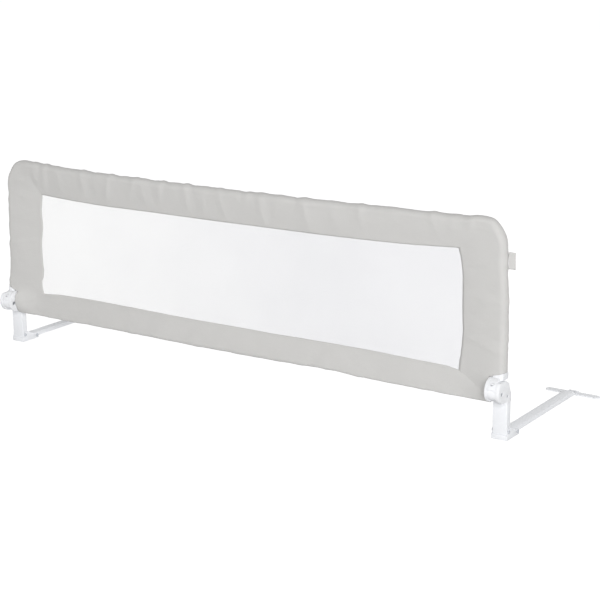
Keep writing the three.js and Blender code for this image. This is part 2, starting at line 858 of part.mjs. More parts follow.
// The groove for the lock pin, with a notch where the panel stands and one where it hangs.
function lockGroove(low, high) {
  const halfWidth = lockPinRadius + lockSlack + buttonTravel / 2;
  const foldedAngle = buttonAngle + foldAngle;
  const track = bentSlotPoints(lockPinOrbit - buttonTravel / 2, halfWidth, buttonAngle, foldedAngle);
  const notches = [buttonAngle, foldedAngle].map((angle) => {
    const from = polar(lockPinOrbit, angle);
    const to = polar(lockPinOrbit + lockNotch, angle);
    return prism("x", stadiumPoints(from, to, lockPinRadius + lockSlack), low, high);
  });
  return join(prism("x", track, low, high), ...notches);
}

function hingeBlock() {
  const seat = hubRadius + fitGap + hubRecess;
  const [nose, chin] = blockNoseShares.map(([share, degrees]) => polar(share * hubRadius, degrees));
  const outline = [
    new THREE.Vector2(uprightFront, shelfBottom),
    new THREE.Vector2(uprightBack, shelfBottom),
    new THREE.Vector2(uprightBack, drumZ - earFootDrop),
    new THREE.Vector2(uprightBack - earSlopeInset, drumZ + earSlopeRise - fitGap),
    polar(2 * hubRadius, blockHighAngle),
    ...arcPoints(pivotY, pivotZ, seat, blockHighAngle, blockLowAngle, smallSides / 2),
    nose,
    chin,
    new THREE.Vector2(uprightFront, drumBottom),
  ];
  return prism("x", outline, innerCheekFace + fitGap, outerCheekFace + fitGap);
}

// The upright's outline in plan, drawn in by an inset.
function uprightPlan(inset) {
  return boxPoints(uprightInner + inset, uprightOuter - inset, uprightFront + inset, uprightBack - inset);
}

function hingePlug() {
  const inset = uprightWall + fitGap;
  const low = shelfBottom - plugDepth;
  const coverEdge = innerCheekFace + fitGap;
  const shelf = boxPoints(coverEdge, uprightOuter, uprightFront, uprightBack);
  const coverSide = boxPoints(uprightInner - overrun, coverEdge, shelfBottom - fitGap, drumBottom + overrun);
  const middle = (shelfBottom + drumBottom) / 2;
  return cut(
    join(prism("z", uprightPlan(inset), low, middle), prism("z", shelf, shelfBottom, drumBottom)),
    prism("z", uprightPlan(inset + plugWall), low - overrun, shelfBottom - plugWall),
    prism("y", coverSide, uprightFront - overrun, uprightBack + overrun),
  );
}

// Holes for a bolt whose head sits in the outer cheek and whose nut sits in the inner one.
function boltHoles(radius, headRadius, y, z) {
  const low = uprightInner - overrun;
  const high = uprightOuter + overrun;
  const headSeat = uprightOuter - boltHeadSunk - boltHeadHeight - fitGap;
  const nutSeat = uprightInner + boltHeadSunk + nutHeight + fitGap;
  return [
    hingeAlongX(radius + pinGap, low, high, y, z, roundSides),
    hingeAlongX(headRadius + fitGap, headSeat, high, y, z),
    hingeAlongX(headRadius + fitGap, low, nutSeat, y, z),
  ];
}

function hingeBase() {
  const cheek = prism("x", cheekOutline(), outerCheekFace, uprightOuter);
  return cut(
    join(cheek, hingeBlock(), hingePlug()),
    prism("x", outerCheekCut(), outerCheekFace - overrun, uprightOuter + overrun),
    lockGroove(outerCheekFace - overrun, outerCheekFace + lockPinReach + fitGap),
    ...boltHoles(pivotBoltRadius, pivotHeadRadius, pivotY, pivotZ),
    ...boltHoles(clampBoltRadius, clampHeadRadius, clampY, clampZ),
  );
}

function hingeCover() {
  return cut(
    prism("x", cheekOutline(), uprightInner, innerCheekFace),
    lockGroove(innerCheekFace - lockPinReach - fitGap, innerCheekFace + overrun),
    ...boltHoles(pivotBoltRadius, pivotHeadRadius, pivotY, pivotZ),
    ...boltHoles(clampBoltRadius, clampHeadRadius, clampY, clampZ),
  );
}

function hingeBolt(radius, headRadius, y, z) {
  const headTop = uprightOuter - boltHeadSunk;
  const seat = headTop - boltHeadHeight;
  const profile = [
    [0, uprightInner + boltHeadSunk + fitGap],
    [radius, uprightInner + boltHeadSunk + fitGap],
    [radius, seat],
    [headRadius, seat],
    [headRadius, headTop - boltHeadHeight / 3],
    [headRadius - boltHeadHeight / 3, headTop],
    [0, headTop],
  ];
  return turned(profile, alongX(y, z), unit("x"), roundSides);
}

function hingeNut(radius, headRadius, y, z) {
  const low = uprightInner + boltHeadSunk;
  return prism(
    "x",
    circlePoints(y, z, headRadius, hexSides),
    low,
    low + nutHeight,
    circlePoints(y, z, radius + pinGap, roundSides),
  );
}

// The part of the knuckle between the cheeks: a hub, the drum's front and top, and a neck to the collar.
function knuckleWeb() {
  const far = collarTop - pivotZ + collarBack;
  const wedge = [
    polar(0, 0),
    polar(far, webBackAngle),
    polar(far, (webBackAngle + webFrontAngle) / 2),
    polar(far, webFrontAngle),
  ];
  const drum = circlePoints(drumY, drumZ, drumRadius - hubRecess, 2 * roundSides);
  const neckTop = hemAt(knuckleInner) - fitGap;
  const slope = (collarBottom - pivotZ) / Math.tan(radians(webBackAngle));
  const neck = [
    polar(hubRadius / 2, webBackAngle),
    new THREE.Vector2(pivotY + slope, collarBottom),
    new THREE.Vector2(pivotY + slope, neckTop),
    new THREE.Vector2(-neckFront, neckTop),
    new THREE.Vector2(-neckFront, pivotZ + neckRoot),
  ];
  return join(
    prism("x", circlePoints(pivotY, pivotZ, hubRadius, 2 * roundSides), knuckleInner, knuckleOuter),
    prism("x", drum, knuckleInner, knuckleOuter).intersect(prism("x", wedge, knuckleInner, knuckleOuter)),
    prism("x", neck, knuckleInner, knuckleOuter),
  );
}

// A countersunk screw's outline, from its tip to its top.
function tubeScrewProfile(gap, tip, top) {
  const seat = sleeveRadius - clothSlack - tubeScrewRim;
  return [
    [0, tip],
    [tubeScrewRadius + gap, tip],
    [tubeScrewRadius + gap, seat - tubeScrewHead + tubeScrewRadius],
    [tubeScrewHead + gap, seat],
    [tubeScrewHead + gap, top],
    [0, top],
  ];
}

function tubeScrewPoint() {
  return new THREE.Vector3(legX, 0, collarTop + tubeScrewHeight);
}

function tubeScrew() {
  const top = sleeveRadius - clothSlack;
  return turned(tubeScrewProfile(0, top - tubeScrewLength, top), tubeScrewPoint(), unit("y"), smallSides);
}

// The collar fills the space between the drum and the slanted hem. Its skirt reaches down over the
// outer cheek, and its front comes forward towards the skirt's foot.
function knuckleCollar() {
  const outer = legX + collarOuterHalf;
  const skirtBottom = drumZ + outerCheekTop + collarGap;
  const plan = roundedBoxPoints(innerCheekFace, outer, -collarFootFront, collarBack, collarCorner);
  const front = [
    new THREE.Vector2(innerCheekFace, collarBottom),
    new THREE.Vector2(knuckleOuter, collarBottom),
    new THREE.Vector2(knuckleOuter, skirtBottom),
    new THREE.Vector2(outer, skirtBottom),
    new THREE.Vector2(outer, hemAt(outer) - fitGap),
    new THREE.Vector2(innerCheekFace, hemAt(innerCheekFace) - fitGap),
  ];
  const side = [
    new THREE.Vector2(-collarFootFront, skirtBottom),
    new THREE.Vector2(collarBack, skirtBottom),
    new THREE.Vector2(collarBack, collarTop),
    new THREE.Vector2(-collarFront, collarTop),
  ];
  const reach = collarFootFront + overrun;
  return prism("z", plan, skirtBottom, collarTop)
    .intersect(prism("y", front, -reach, reach))
    .intersect(prism("x", side, innerCheekFace - overrun, outer + overrun));
}

// The knuckle's solid form: web, collar, and the sockets for both tubes.
function knuckleBody() {
  const leg = new THREE.Vector3(legX, 0, 0);
  const riser = new THREE.Vector3(riserX, 0, 0);
  const web = boxPoints(riserX, legX, -lugWebHalf, lugWebHalf);
  const body = join(
    knuckleWeb(),
    knuckleCollar(),
    rod(sleeveRadius, collarBottom, sleeveTop, leg, unit("z"), roundSides),
    prism("z", web, lugBottom, sleeveTop),
    rod(lugRadius, lugBottom, sleeveTop, riser, unit("z"), roundSides),
  );
  const socketBottom = collarBottom + socketFloor;
  return cut(
    body,
    rod(frameTubeRadius + fitGap, socketBottom, sleeveTop + overrun, leg, unit("z"), roundSides),
    rod(bottomTubeRadius + fitGap, lugBottom - overrun, riserTop + fitGap, riser, unit("z"), roundSides),
  );
}

function hingeKnuckle() {
  const low = knuckleInner - overrun;
  const high = knuckleOuter + overrun;
  const pinFrom = polar(lockPinOrbit - buttonTravel, buttonAngle);
  const pinTo = polar(lockPinOrbit, buttonAngle);
  const pinSlot = stadiumPoints(pinFrom, pinTo, lockPinRadius + lockSlack);
  const screwTip = sleeveRadius - clothSlack - tubeScrewLength - overrun;
  const screwHole = tubeScrewProfile(fitGap, screwTip, sleeveRadius + overrun);
  const stemFrom = stemEnd - buttonTravel - fitGap;
  const stemTo = springSeat + overrun;
  const capTo = buttonTop + overrun;
  const button = buttonPoint();
  return cut(
    knuckleBody(),
    turned(screwHole, tubeScrewPoint(), unit("y"), smallSides),
    hingeAlongX(pivotBoltRadius + pinGap, low, high, pivotY, pivotZ, roundSides),
    rod(buttonRadius + fitGap, springSeat, capTo, button, buttonDirection, roundSides),
    rod(stemRadius + fitGap, stemFrom, stemTo, button, buttonDirection, roundSides),
    prism("x", pinSlot, low, high),
  );
}

function buttonPoint() {
  return new THREE.Vector3((knuckleInner + knuckleOuter) / 2, pivotY, pivotZ);
}

function releaseButton() {
  const profile = [
    [0, stemEnd],
    [stemRadius, stemEnd],
    [stemRadius, capBottom],
    [buttonRadius, capBottom],
    [buttonRadius, buttonTop - buttonCap / 2],
    [buttonRadius - buttonCap / 2, buttonTop],
    [0, buttonTop],
  ];
  const pin = polar(lockPinOrbit, buttonAngle);
  const hole = hingeAlongX(lockPinRadius + pinGap, knuckleInner, knuckleOuter, pin.x, pin.y);
  return cut(turned(profile, buttonPoint(), buttonDirection, roundSides), hole);
}

function lockPin() {
  const pin = polar(lockPinOrbit, buttonAngle);
  const low = innerCheekFace - lockPinReach;
  const high = outerCheekFace + lockPinReach;
  return hingeAlongX(lockPinRadius, low, high, pin.x, pin.y);
}

// The spring round the button's stem: one unbroken coil from a formula.
function buttonSpring() {
  const low = springSeat + fitGap + springWire;
  const rise = springLength - 2 * springWire;
  const steps = springTurns * springSteps;
  const turn = new THREE.Quaternion().setFromUnitVectors(unit("z"), buttonDirection);
  const points = Array.from({ length: steps + 1 }, (_, index) => {
    const angle = (2 * Math.PI * index) / springSteps;
    const local = new THREE.Vector3(Math.cos(angle) * springRadius, Math.sin(angle) * springRadius, 0);
    local.z = low + (rise * index) / steps;
    return local.applyQuaternion(turn).add(buttonPoint());
  });
  const gap = points[0].distanceTo(points[springSteps]) - 2 * springWire;
  console.log(`least gap between the spring's turns: ${gap.toFixed(2)} mm`);
  return tubeAlong(points, springWire, 0, springSides);
}

// Everything that each side has its own copy of
function sidePieces(side) {
  const group = new THREE.Group();
  const [rivetInner, rivetOuter] = crossbarRivetPlaces();
  const pieces = [
    ["foot_bracket", footBracket(), steelFinish],
    ["upright", upright(), steelFinish],
    ["upright_rivet", footRivet(uprightFront + uprightRivetBack, uprightRivetHeight), zincFinish],
    ["arm_rivet", footRivet(armPivotY, armPivotZ), zincFinish],
    ["arm_spacer_inner", armSpacer(footInner + footWall + fitGap, armInner - fitGap), plasticFinish],
    ["arm_spacer_outer", armSpacer(armOuter + fitGap, footOuter - footWall - fitGap), plasticFinish],
    ["arm", arm(), steelFinish],
    ["crossbar", crossbar(), steelFinish],
    ["crossbar_rivet_inner", crossbarRivet(rivetInner), zincFinish],
    ["crossbar_rivet_outer", crossbarRivet(rivetOuter), zincFinish],
    ["hinge_base", hingeBase(), plasticFinish],
    ["hinge_cover", hingeCover(), plasticFinish],
    ["hinge_knuckle", hingeKnuckle(), plasticFinish],
    ["pivot_bolt", hingeBolt(pivotBoltRadius, pivotHeadRadius, pivotY, pivotZ), zincFinish],
    ["pivot_nut", hingeNut(pivotBoltRadius, pivotHeadRadius, pivotY, pivotZ), zincFinish],
    ["clamp_bolt", hingeBolt(clampBoltRadius, clampHeadRadius, clampY, clampZ), zincFinish],
    ["clamp_nut", hingeNut(clampBoltRadius, clampHeadRadius, clampY, clampZ), zincFinish],
    ["release_button", releaseButton(), plasticFinish],
    ["lock_pin", lockPin(), zincFinish],
    ["button_spring", buttonSpring(), zincFinish],
    ["tube_screw", tubeScrew(), zincFinish],
    ["frame_tube", frameTube(), tubeFinish],
    ["bottom_tube", bottomTube(), tubeFinish],
  ];
  pieces.forEach(([name, solid, material]) => group.add(piece(`${side}_${name}`, solid, material)));
  return group;
}

const rail = new THREE.Group();
const drawn = new THREE.Group();
drawn.position.y = -(frontY + armBack) / 2;
rail.add(drawn);

const rightSide = sidePieces("right");
const leftSide = sidePieces("left");
leftSide.scale.x = -1;
drawn.add(rightSide);
drawn.add(leftSide);
drawn.add(piece("frame_joint_sleeve", frameJointSleeve(), tubeFinish));
drawn.add(piece("bottom_joint_sleeve", bottomJointSleeve(), tubeFinish));
drawn.add(piece("fabric_cover", fabricCover(), clothFinish));
drawn.add(piece("mesh_window", meshWindow(), meshFinish));
drawn.add(piece("label_tab", labelTab(), clothFinish));

export default rail;
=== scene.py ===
"""Folding bed guard rail: cloth, netting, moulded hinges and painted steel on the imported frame."""

import json
import logging
import math
import random
from dataclasses import dataclass, field, replace
from enum import Enum

import bmesh
import bpy
from mathutils import Matrix, Vector, noise
from mathutils.bvhtree import BVHTree

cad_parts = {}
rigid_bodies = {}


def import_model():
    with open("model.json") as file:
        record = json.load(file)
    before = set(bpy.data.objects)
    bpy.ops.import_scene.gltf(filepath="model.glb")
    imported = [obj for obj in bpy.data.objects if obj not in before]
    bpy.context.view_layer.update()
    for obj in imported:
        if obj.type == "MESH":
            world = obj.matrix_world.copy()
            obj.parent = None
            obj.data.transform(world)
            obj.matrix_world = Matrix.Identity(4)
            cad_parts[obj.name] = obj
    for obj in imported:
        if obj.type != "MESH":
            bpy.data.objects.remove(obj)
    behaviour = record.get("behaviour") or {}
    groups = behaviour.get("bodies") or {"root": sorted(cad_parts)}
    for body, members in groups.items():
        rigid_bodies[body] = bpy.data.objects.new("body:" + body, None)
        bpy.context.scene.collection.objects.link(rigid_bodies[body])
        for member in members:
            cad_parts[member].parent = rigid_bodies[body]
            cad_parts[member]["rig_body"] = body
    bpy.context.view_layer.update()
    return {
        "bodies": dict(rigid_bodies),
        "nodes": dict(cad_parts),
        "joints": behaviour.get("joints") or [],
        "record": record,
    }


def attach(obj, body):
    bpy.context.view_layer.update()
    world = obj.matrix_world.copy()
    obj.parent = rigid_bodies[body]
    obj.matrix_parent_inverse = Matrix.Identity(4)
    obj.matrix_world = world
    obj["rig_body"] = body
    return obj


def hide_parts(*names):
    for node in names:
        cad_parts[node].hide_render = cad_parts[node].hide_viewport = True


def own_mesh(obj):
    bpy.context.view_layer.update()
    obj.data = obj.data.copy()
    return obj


log = logging.getLogger("bed_rail")

MM = 0.001
PANEL_Y = -0.1725  # the panel's middle plane in the row frame
WELD = 2e-6  # corners of CAD triangles closer than this, in metres, are one
SMOOTH = 180.0  # cloth has no sharp edge, whatever its angle in degrees
WAVE_TURN = math.pi / 10  # a wave texture of scale 1 repeats after this many metres
WHITE = (1.0, 1.0, 1.0, 1.0)


class Side(Enum):
    """The two ends of the rail."""

    RIGHT = "right"
    LEFT = "left"

    @property
    def sign(self) -> float:
        """The side's direction along X."""
        return 1.0 if self is Side.RIGHT else -1.0


class Face(Enum):
    """The two faces of the panel, by their direction along Y."""

    FRONT = -1.0
    BACK = 1.0


class Slot(Enum):
    """The record's material slots."""

    CLOTH = "cover_fabric"
    NET = "mesh"
    STEEL = "painted_steel"
    PLASTIC = "white_plastic"
    ZINC = "zinc"


def linear(code: int) -> tuple[float, float, float, float]:
    """Turns an sRGB hex colour to a linear one.

    Args:
        code: The colour as 0xRRGGBB.

    Returns:
        Linear red, green, blue and an alpha of 1.
    """

    def channel(value: int) -> float:
        """One channel, from 0 to 255, as a linear share."""
        share = value / 255
        return share / 12.92 if share <= 0.04045 else ((share + 0.055) / 1.055) ** 2.4

    return (channel(code >> 16 & 255), channel(code >> 8 & 255), channel(code & 255), 1.0)


def add_node(
    tree: bpy.types.NodeTree, kind: str, inputs: dict | None = None, **settings: object
) -> bpy.types.Node:
    """Adds a shader node with its settings and links.

    Args:
        tree: The material's or world's node tree.
        kind: The node's Blender type, without ShaderNode in front.
        inputs: Socket name or number to a value, or to the socket that feeds it.
        settings: Attributes of the node.

    Returns:
        The new node.
    """
    node = tree.nodes.new("ShaderNode" + kind)
    for name, value in settings.items():
        setattr(node, name, value)
    for name, value in (inputs or {}).items():
        if isinstance(value, bpy.types.NodeSocket):
            tree.links.new(value, node.inputs[name])
        else:
            node.inputs[name].default_value = value
    return node


def new_material(name: str) -> tuple[bpy.types.Material, bpy.types.NodeTree]:
    """Makes an empty node material.

    Args:
        name: The material's name.

    Returns:
        The material and its cleared node tree.
    """
    material = bpy.data.materials.new(name)
    material.use_nodes = True
    material.node_tree.nodes.clear()
    return material, material.node_tree


@dataclass(frozen=True)
class WovenPolyester:
    """Polyester oxford cloth, plain woven: dull, with faint threads and soft creases."""

    color: int = 0xCECDCB
    shade: int = 0xC6C5C3
    thread: float = 1.6 * MM  # the real spacing is 0.5 mm, drawn coarser so that it shows
    thread_relief: float = 0.12 * MM
    slub: float = 6.4 * MM  # the length of the yarn's thick places
    mottle: float = 90 * MM
    mottle_share: float = 0.55  # of the change in colour; threads and slubs add theirs
    crumple: float = 14 * MM
    crumple_relief: float = 1.6 * MM
    roughness: float = 0.88

    def material(self) -> bpy.types.Material:
        """Builds the material on the piece's own UV map, in metres.

        Returns:
            The cloth's material.
        """
        material, tree = new_material("woven_polyester_oxford")
        place = add_node(tree, "TexCoord").outputs
        threads = {"Vector": place["UV"], "Scale": WAVE_TURN / self.thread}
        across = add_node(tree, "TexWave", threads, bands_direction="X").outputs["Fac"]
        along = add_node(tree, "TexWave", threads, bands_direction="Y").outputs["Fac"]
        weave = add_node(tree, "Math", {0: across, 1: along}, operation="MULTIPLY").outputs[0]
        mottle = add_node(
            tree, "TexNoise", {"Vector": place["Object"], "Scale": 1 / self.mottle, "Detail": 3.0}
        )
        slub = add_node(
            tree, "TexNoise", {"Vector": place["UV"], "Scale": 1 / self.slub, "Detail": 2.0}
        )
        crumple = add_node(
            tree,
            "TexNoise",
            {
                "Vector": place["Object"],
                "Scale": 1 / self.crumple,
                "Detail": 4.0,
                "Roughness": 0.55,
                "Distortion": 0.6,
            },
        )
        tint = add_node(tree, "Math", {0: weave, 1: slub.outputs["Fac"]}, operation="MULTIPLY")
        blend = add_node(
            tree,
            "Math",
            {0: mottle.outputs["Fac"], 1: self.mottle_share, 2: tint.outputs[0]},
            operation="MULTIPLY_ADD",
            use_clamp=True,
        )
        color = add_node(
            tree,
            "Mix",
            {0: blend.outputs[0], 6: linear(self.shade), 7: linear(self.color)},
            data_type="RGBA",
        )
        creased = add_node(
            tree,
            "Bump",
            {"Height": crumple.outputs["Fac"], "Distance": self.crumple_relief, "Strength": 0.5},
        )
        threaded = add_node(
            tree,
            "Bump",
            {
                "Height": weave,
                "Distance": self.thread_relief,
                "Strength": 0.5,
                "Normal": creased.outputs["Normal"],
            },
        )
        shader = add_node(
            tree,
            "BsdfPrincipled",
            {
                "Base Color": color.outputs[2],
                "Roughness": self.roughness,
                "IOR": 1.5,
                "Specular IOR Level": 0.25,
                "Sheen Weight": 0.12,
                "Sheen Roughness": 0.5,
                "Normal": threaded.outputs["Normal"],
            },
        )
        add_node(tree, "OutputMaterial", {"Surface": shader.outputs["BSDF"]})
        return material


@dataclass(frozen=True)
class KnittedNetting:
    """White polyester netting, warp knitted: open diamond cells between slightly glossy threads."""

    color: int = 0xFCFCFC
    shade: int = 0xE0E0E3
    painted_light_full_to: float = -0.55  # painted light: the netting is painted lightest on the left, up to here along X
    # the painted light on the left fades out by here along X
    painted_light_end: float = 0.25
    painted_light: float = 0.75  # painted light: how far the left goes to the lighter colour
    streak_share: float = 0.25  # of the change in colour, for the courses and clouds
    course_length: float = 44.4 * MM
    course_height: float = 3.7 * MM
    cloud: float = 143 * MM
    cell: float = 2.4 * MM  # the real cells are about 1.5 mm, drawn coarser so that they show
    cell_turn: float = 45.0
    opening: float = 0.62  # a cell is open where the two waves' product passes this
    opening_edge: float = 0.2
    clear: float = 0.55  # how clear an opening is
    thread_relief: float = 0.2 * MM
    roughness: float = 0.7

    def material(self) -> bpy.types.Material:
        """Builds the material on the piece's own UV map, in metres.

        Returns:
            The netting's material.
        """
        material, tree = new_material("knitted_polyester_netting")
        place = add_node(tree, "TexCoord").outputs
        turn = (0.0, 0.0, math.radians(self.cell_turn))
        turned = add_node(tree, "Mapping", {"Vector": place["UV"], "Rotation": turn}).outputs[0]
        wave = {"Vector": turned, "Scale": WAVE_TURN / self.cell}
        across = add_node(tree, "TexWave", wave, bands_direction="X").outputs["Fac"]
        along = add_node(tree, "TexWave", wave, bands_direction="Y").outputs["Fac"]
        cells = add_node(tree, "Math", {0: across, 1: along}, operation="MULTIPLY").outputs[0]
        hole = add_node(
            tree,
            "MapRange",
            {
                "Value": cells,
                "From Min": self.opening - self.opening_edge,
                "From Max": self.opening,
                "To Min": 0.0,
                "To Max": self.clear,
            },
        )
        drawn = (1 / self.course_length, 1 / self.course_height, 1.0)
        courses = add_node(tree, "Mapping", {"Vector": place["UV"], "Scale": drawn})
        streak = add_node(
            tree, "TexNoise", {"Vector": courses.outputs[0], "Scale": 1.0, "Detail": 3.0}
        )
        cloud = add_node(
            tree, "TexNoise", {"Vector": place["Object"], "Scale": 1 / self.cloud, "Detail": 2.0}
        )
        texture = add_node(
            tree, "Math", {0: streak.outputs["Fac"], 1: cloud.outputs["Fac"]}, operation="ADD"
        )
        # Painted light: the colour is made lighter towards the left end of the rail and fades out
        # along X
        along_rail = add_node(tree, "SeparateXYZ", {0: place["Object"]})
        painted_lightening = add_node(
            tree,
            "MapRange",
            {
                "Value": along_rail.outputs["X"],
                "From Min": self.painted_light_full_to,
                "From Max": self.painted_light_end,
                "To Min": self.painted_light,
                "To Max": 0.0,
            },
        )
        blend = add_node(
            tree,
            "Math",
            {0: texture.outputs[0], 1: self.streak_share, 2: painted_lightening.outputs[0]},
            operation="MULTIPLY_ADD",
            use_clamp=True,
        )
        color = add_node(
            tree,
            "Mix",
            {0: blend.outputs[0], 6: linear(self.shade), 7: linear(self.color)},
            data_type="RGBA",
        )
        bump = add_node(
            tree, "Bump", {"Height": cells, "Distance": self.thread_relief, "Strength": 0.4}
        )
        thread = add_node(
            tree,
            "BsdfPrincipled",
            {
                "Base Color": color.outputs[2],
                "Roughness": self.roughness,
                "IOR": 1.5,
                "Specular IOR Level": 0.3,
                "Sheen Weight": 0.1,
                "Normal": bump.outputs["Normal"],
            },
        )
        gap = add_node(tree, "BsdfTransparent")
        surface = add_node(
            tree, "MixShader", {0: hole.outputs[0], 1: thread.outputs["BSDF"], 2: gap.outputs[0]}
        )
        add_node(tree, "OutputMaterial", {"Surface": surface.outputs[0]})
        return material


@dataclass(frozen=True)
class HardFinish:
    """A hard surface whose colour and gloss vary a little, with a fine grain in its relief."""

    name: str
    color: int
    shade: int
    roughness: float
    spread: float  # how far the roughness varies
    grain: float  # size of the relief's grain, in metres
    relief: float  # depth of the relief, in metres
    metallic: float = 0.0
    coat: float = 0.0
    streak: tuple[float, float, float] = (1.0, 1.0, 1.0)  # draws the grain out along an axis
    cloud: float = 45.5 * MM  # size of the patches of colour and gloss

    def material(self) -> bpy.types.Material:
        """Builds the material on Object coordinates.

        Returns:
            The finish's material.
        """
        material, tree = new_material(self.name)
        place = add_node(tree, "TexCoord").outputs["Object"]
        drawn = add_node(tree, "Mapping", {"Vector": place, "Scale": self.streak})
        grain = add_node(
            tree, "TexNoise", {"Vector": drawn.outputs[0], "Scale": 1 / self.grain, "Detail": 3.0}
        )
        cloud = add_node(
            tree, "TexNoise", {"Vector": place, "Scale": 1 / self.cloud, "Detail": 4.0}
        )
        color = add_node(
            tree,
            "Mix",
            {0: cloud.outputs["Fac"], 6: linear(self.shade), 7: linear(self.color)},
            data_type="RGBA",
        )
        gloss = add_node(
            tree,
            "MapRange",
            {
                "Value": cloud.outputs["Fac"],
                "From Min": 0.3,
                "From Max": 0.7,
                "To Min": self.roughness - self.spread,
                "To Max": self.roughness + self.spread,
            },
        )
        bump = add_node(
            tree,
            "Bump",
            {"Height": grain.outputs["Fac"], "Distance": self.relief, "Strength": 0.5},
        )
        shader = add_node(
            tree,
            "BsdfPrincipled",
            {
                "Base Color": color.outputs[2],
                "Roughness": gloss.outputs[0],
                "Metallic": self.metallic,
                "Coat Weight": self.coat,
                "Coat Roughness": 0.2,
                "Normal": bump.outputs["Normal"],
            },
        )
        add_node(tree, "OutputMaterial", {"Surface": shader.outputs["BSDF"]})
        return material


# Steel tube and strip, powder coated: satin white with the faint orange peel of baked powder
POWDER_COAT = HardFinish(
    "powder_coated_steel", 0xF0F1F4, 0xEBEDF0, 0.38, 0.05, 1.2 * MM, 0.05 * MM, coat=0.1
)
# Polypropylene, injection moulded: white, low sheen, with a fine spark-eroded texture
MOULDED_WHITE = HardFinish(
    "moulded_polypropylene", 0xF2F3F5, 0xEDEEF1, 0.46, 0.06, 0.6 * MM, 0.04 * MM
)
# Carbon steel fasteners, zinc plated: blue-grey, bright, with fine turning marks
ZINC_PLATE = HardFinish(
    "zinc_plated_steel",
    0xC4C7CC,
    0xB2B6BC,
    0.34,
    0.08,
    0.5 * MM,
    0.03 * MM,
    metallic=1.0,
    streak=(6.0, 1.0, 1.0),
)
# Steel rivets under powder coat: greyer than the tubes, with the coat pooled round their heads
COATED_RIVET = HardFinish(
    "powder_coated_rivet", 0xCDD0D6, 0xC2C6CC, 0.4, 0.05, 0.8 * MM, 0.05 * MM, coat=0.1
)
# Polyester sewing thread, spun: dull, a shade darker than the cloth
SEWING_THREAD = HardFinish(
    "spun_polyester_thread", 0xC6C4C1, 0xBCBAB7, 0.8, 0.05, 0.4 * MM, 0.06 * MM
)
# Polyester ribbon, satin woven: a soft shine along its threads
SATIN_RIBBON = HardFinish(
    "woven_satin_ribbon",
    0xD2D1CF,
    0xC8C7C5,
    0.55,
    0.05,
    0.7 * MM,
    0.05 * MM,
    streak=(1.0, 1.0, 5.0),
)


class Palette:
    """Holds each finish's material, made once."""

    def __init__(self) -> None:
        """Builds all the materials."""
        self.cloth = WovenPolyester().material()
        self.net = KnittedNetting().material()
        self.steel = POWDER_COAT.material()
        self.plastic = MOULDED_WHITE.material()
        self.zinc = ZINC_PLATE.material()
        self.rivet = COATED_RIVET.material()
        self.thread = SEWING_THREAD.material()
        self.ribbon = SATIN_RIBBON.material()


def clamp(value: float) -> float:
    """Keeps a share between 0 and 1."""
    return max(0.0, min(1.0, value))


def eased(share: float) -> float:
    """Smooths a share at both of its ends."""
    return share * share * (3 - 2 * share)


def welded_copy(node: bpy.types.Object) -> bmesh.types.BMesh:
    """Copies a CAD node's triangles and merges their corners.

    Args:
        node: The CAD node, which isn't changed.

    Returns:
        The copy.
    """
    shape = bmesh.new()
    shape.from_mesh(node.data)
    bmesh.ops.remove_doubles(shape, verts=shape.verts, dist=WELD)
    return shape


def finished(
    shape: bmesh.types.BMesh,
    name: str,
    material: bpy.types.Material,
    body: str,
    sharp: float = 40.0,
) -> bpy.types.Object:
    """Turns a bmesh into a piece of the scene.

    Args:
        shape: The shape, which is freed.
        name: The piece's name.
        material: Its material.
        body: The body that it rides on.
        sharp: Edges over this angle, in degrees, stay sharp.

    Returns:
        The piece's object, at the origin.
    """
    mesh = bpy.data.meshes.new(name)
    shape.to_mesh(mesh)
    shape.free()
    mesh.materials.append(material)
    mesh.shade_smooth()
    mesh.set_sharp_from_angle(angle=math.radians(sharp))
    piece = bpy.data.objects.new(name, mesh)
    bpy.context.scene.collection.objects.link(piece)
    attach(piece, body)
    log.info("%s: %d faces", name, len(mesh.polygons))
    return piece


@dataclass
class HardParts:
    """Pieces of one side that keep their CAD shape, but for rounded edges."""

    side: Side
    palette: Palette
    nodes: dict[str, bpy.types.Object]
    segments: int = 2
    least_angle: float = 32.0  # edges flatter than this, in degrees, stay as they are
    flat_angle: float = 0.6  # faces within this angle, in degrees, are one

    def rounded(
        self, node: str, name: str, material: bpy.types.Material, slot: Slot, rounding: float
    ) -> bpy.types.Object:
        """Rounds a node's edges as moulding, pressing or coating leaves them.

        Args:
            node: The node's name, without its side.
            name: The piece's name, without its side.
            material: The piece's material.
            slot: The record's slot that it stands for; not used.
            rounding: Width of the rounded edges, in metres.

        Returns:
            The piece, in the node's place.
        """
        node = f"{self.side.value}_{node}"
        shape = welded_copy(self.nodes[node])
        bmesh.ops.dissolve_limit(
            shape,
            angle_limit=math.radians(self.flat_angle),
            verts=shape.verts,
            edges=shape.edges,
            delimit=set(),
        )
        least = math.radians(self.least_angle)
        bmesh.ops.bevel(
            shape,
            geom=[e for e in shape.edges if e.is_manifold and e.calc_face_angle(0) > least],
            offset=rounding,
            offset_type="OFFSET",
            segments=self.segments,
            profile=0.5,
            affect="EDGES",
            clamp_overlap=True,
            material=-1,
        )
        piece = finished(
            shape,
            f"{self.side.value}_{name}",
            material,
            self.nodes[node]["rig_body"],
            self.least_angle,
        )
        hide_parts(node)
        return piece


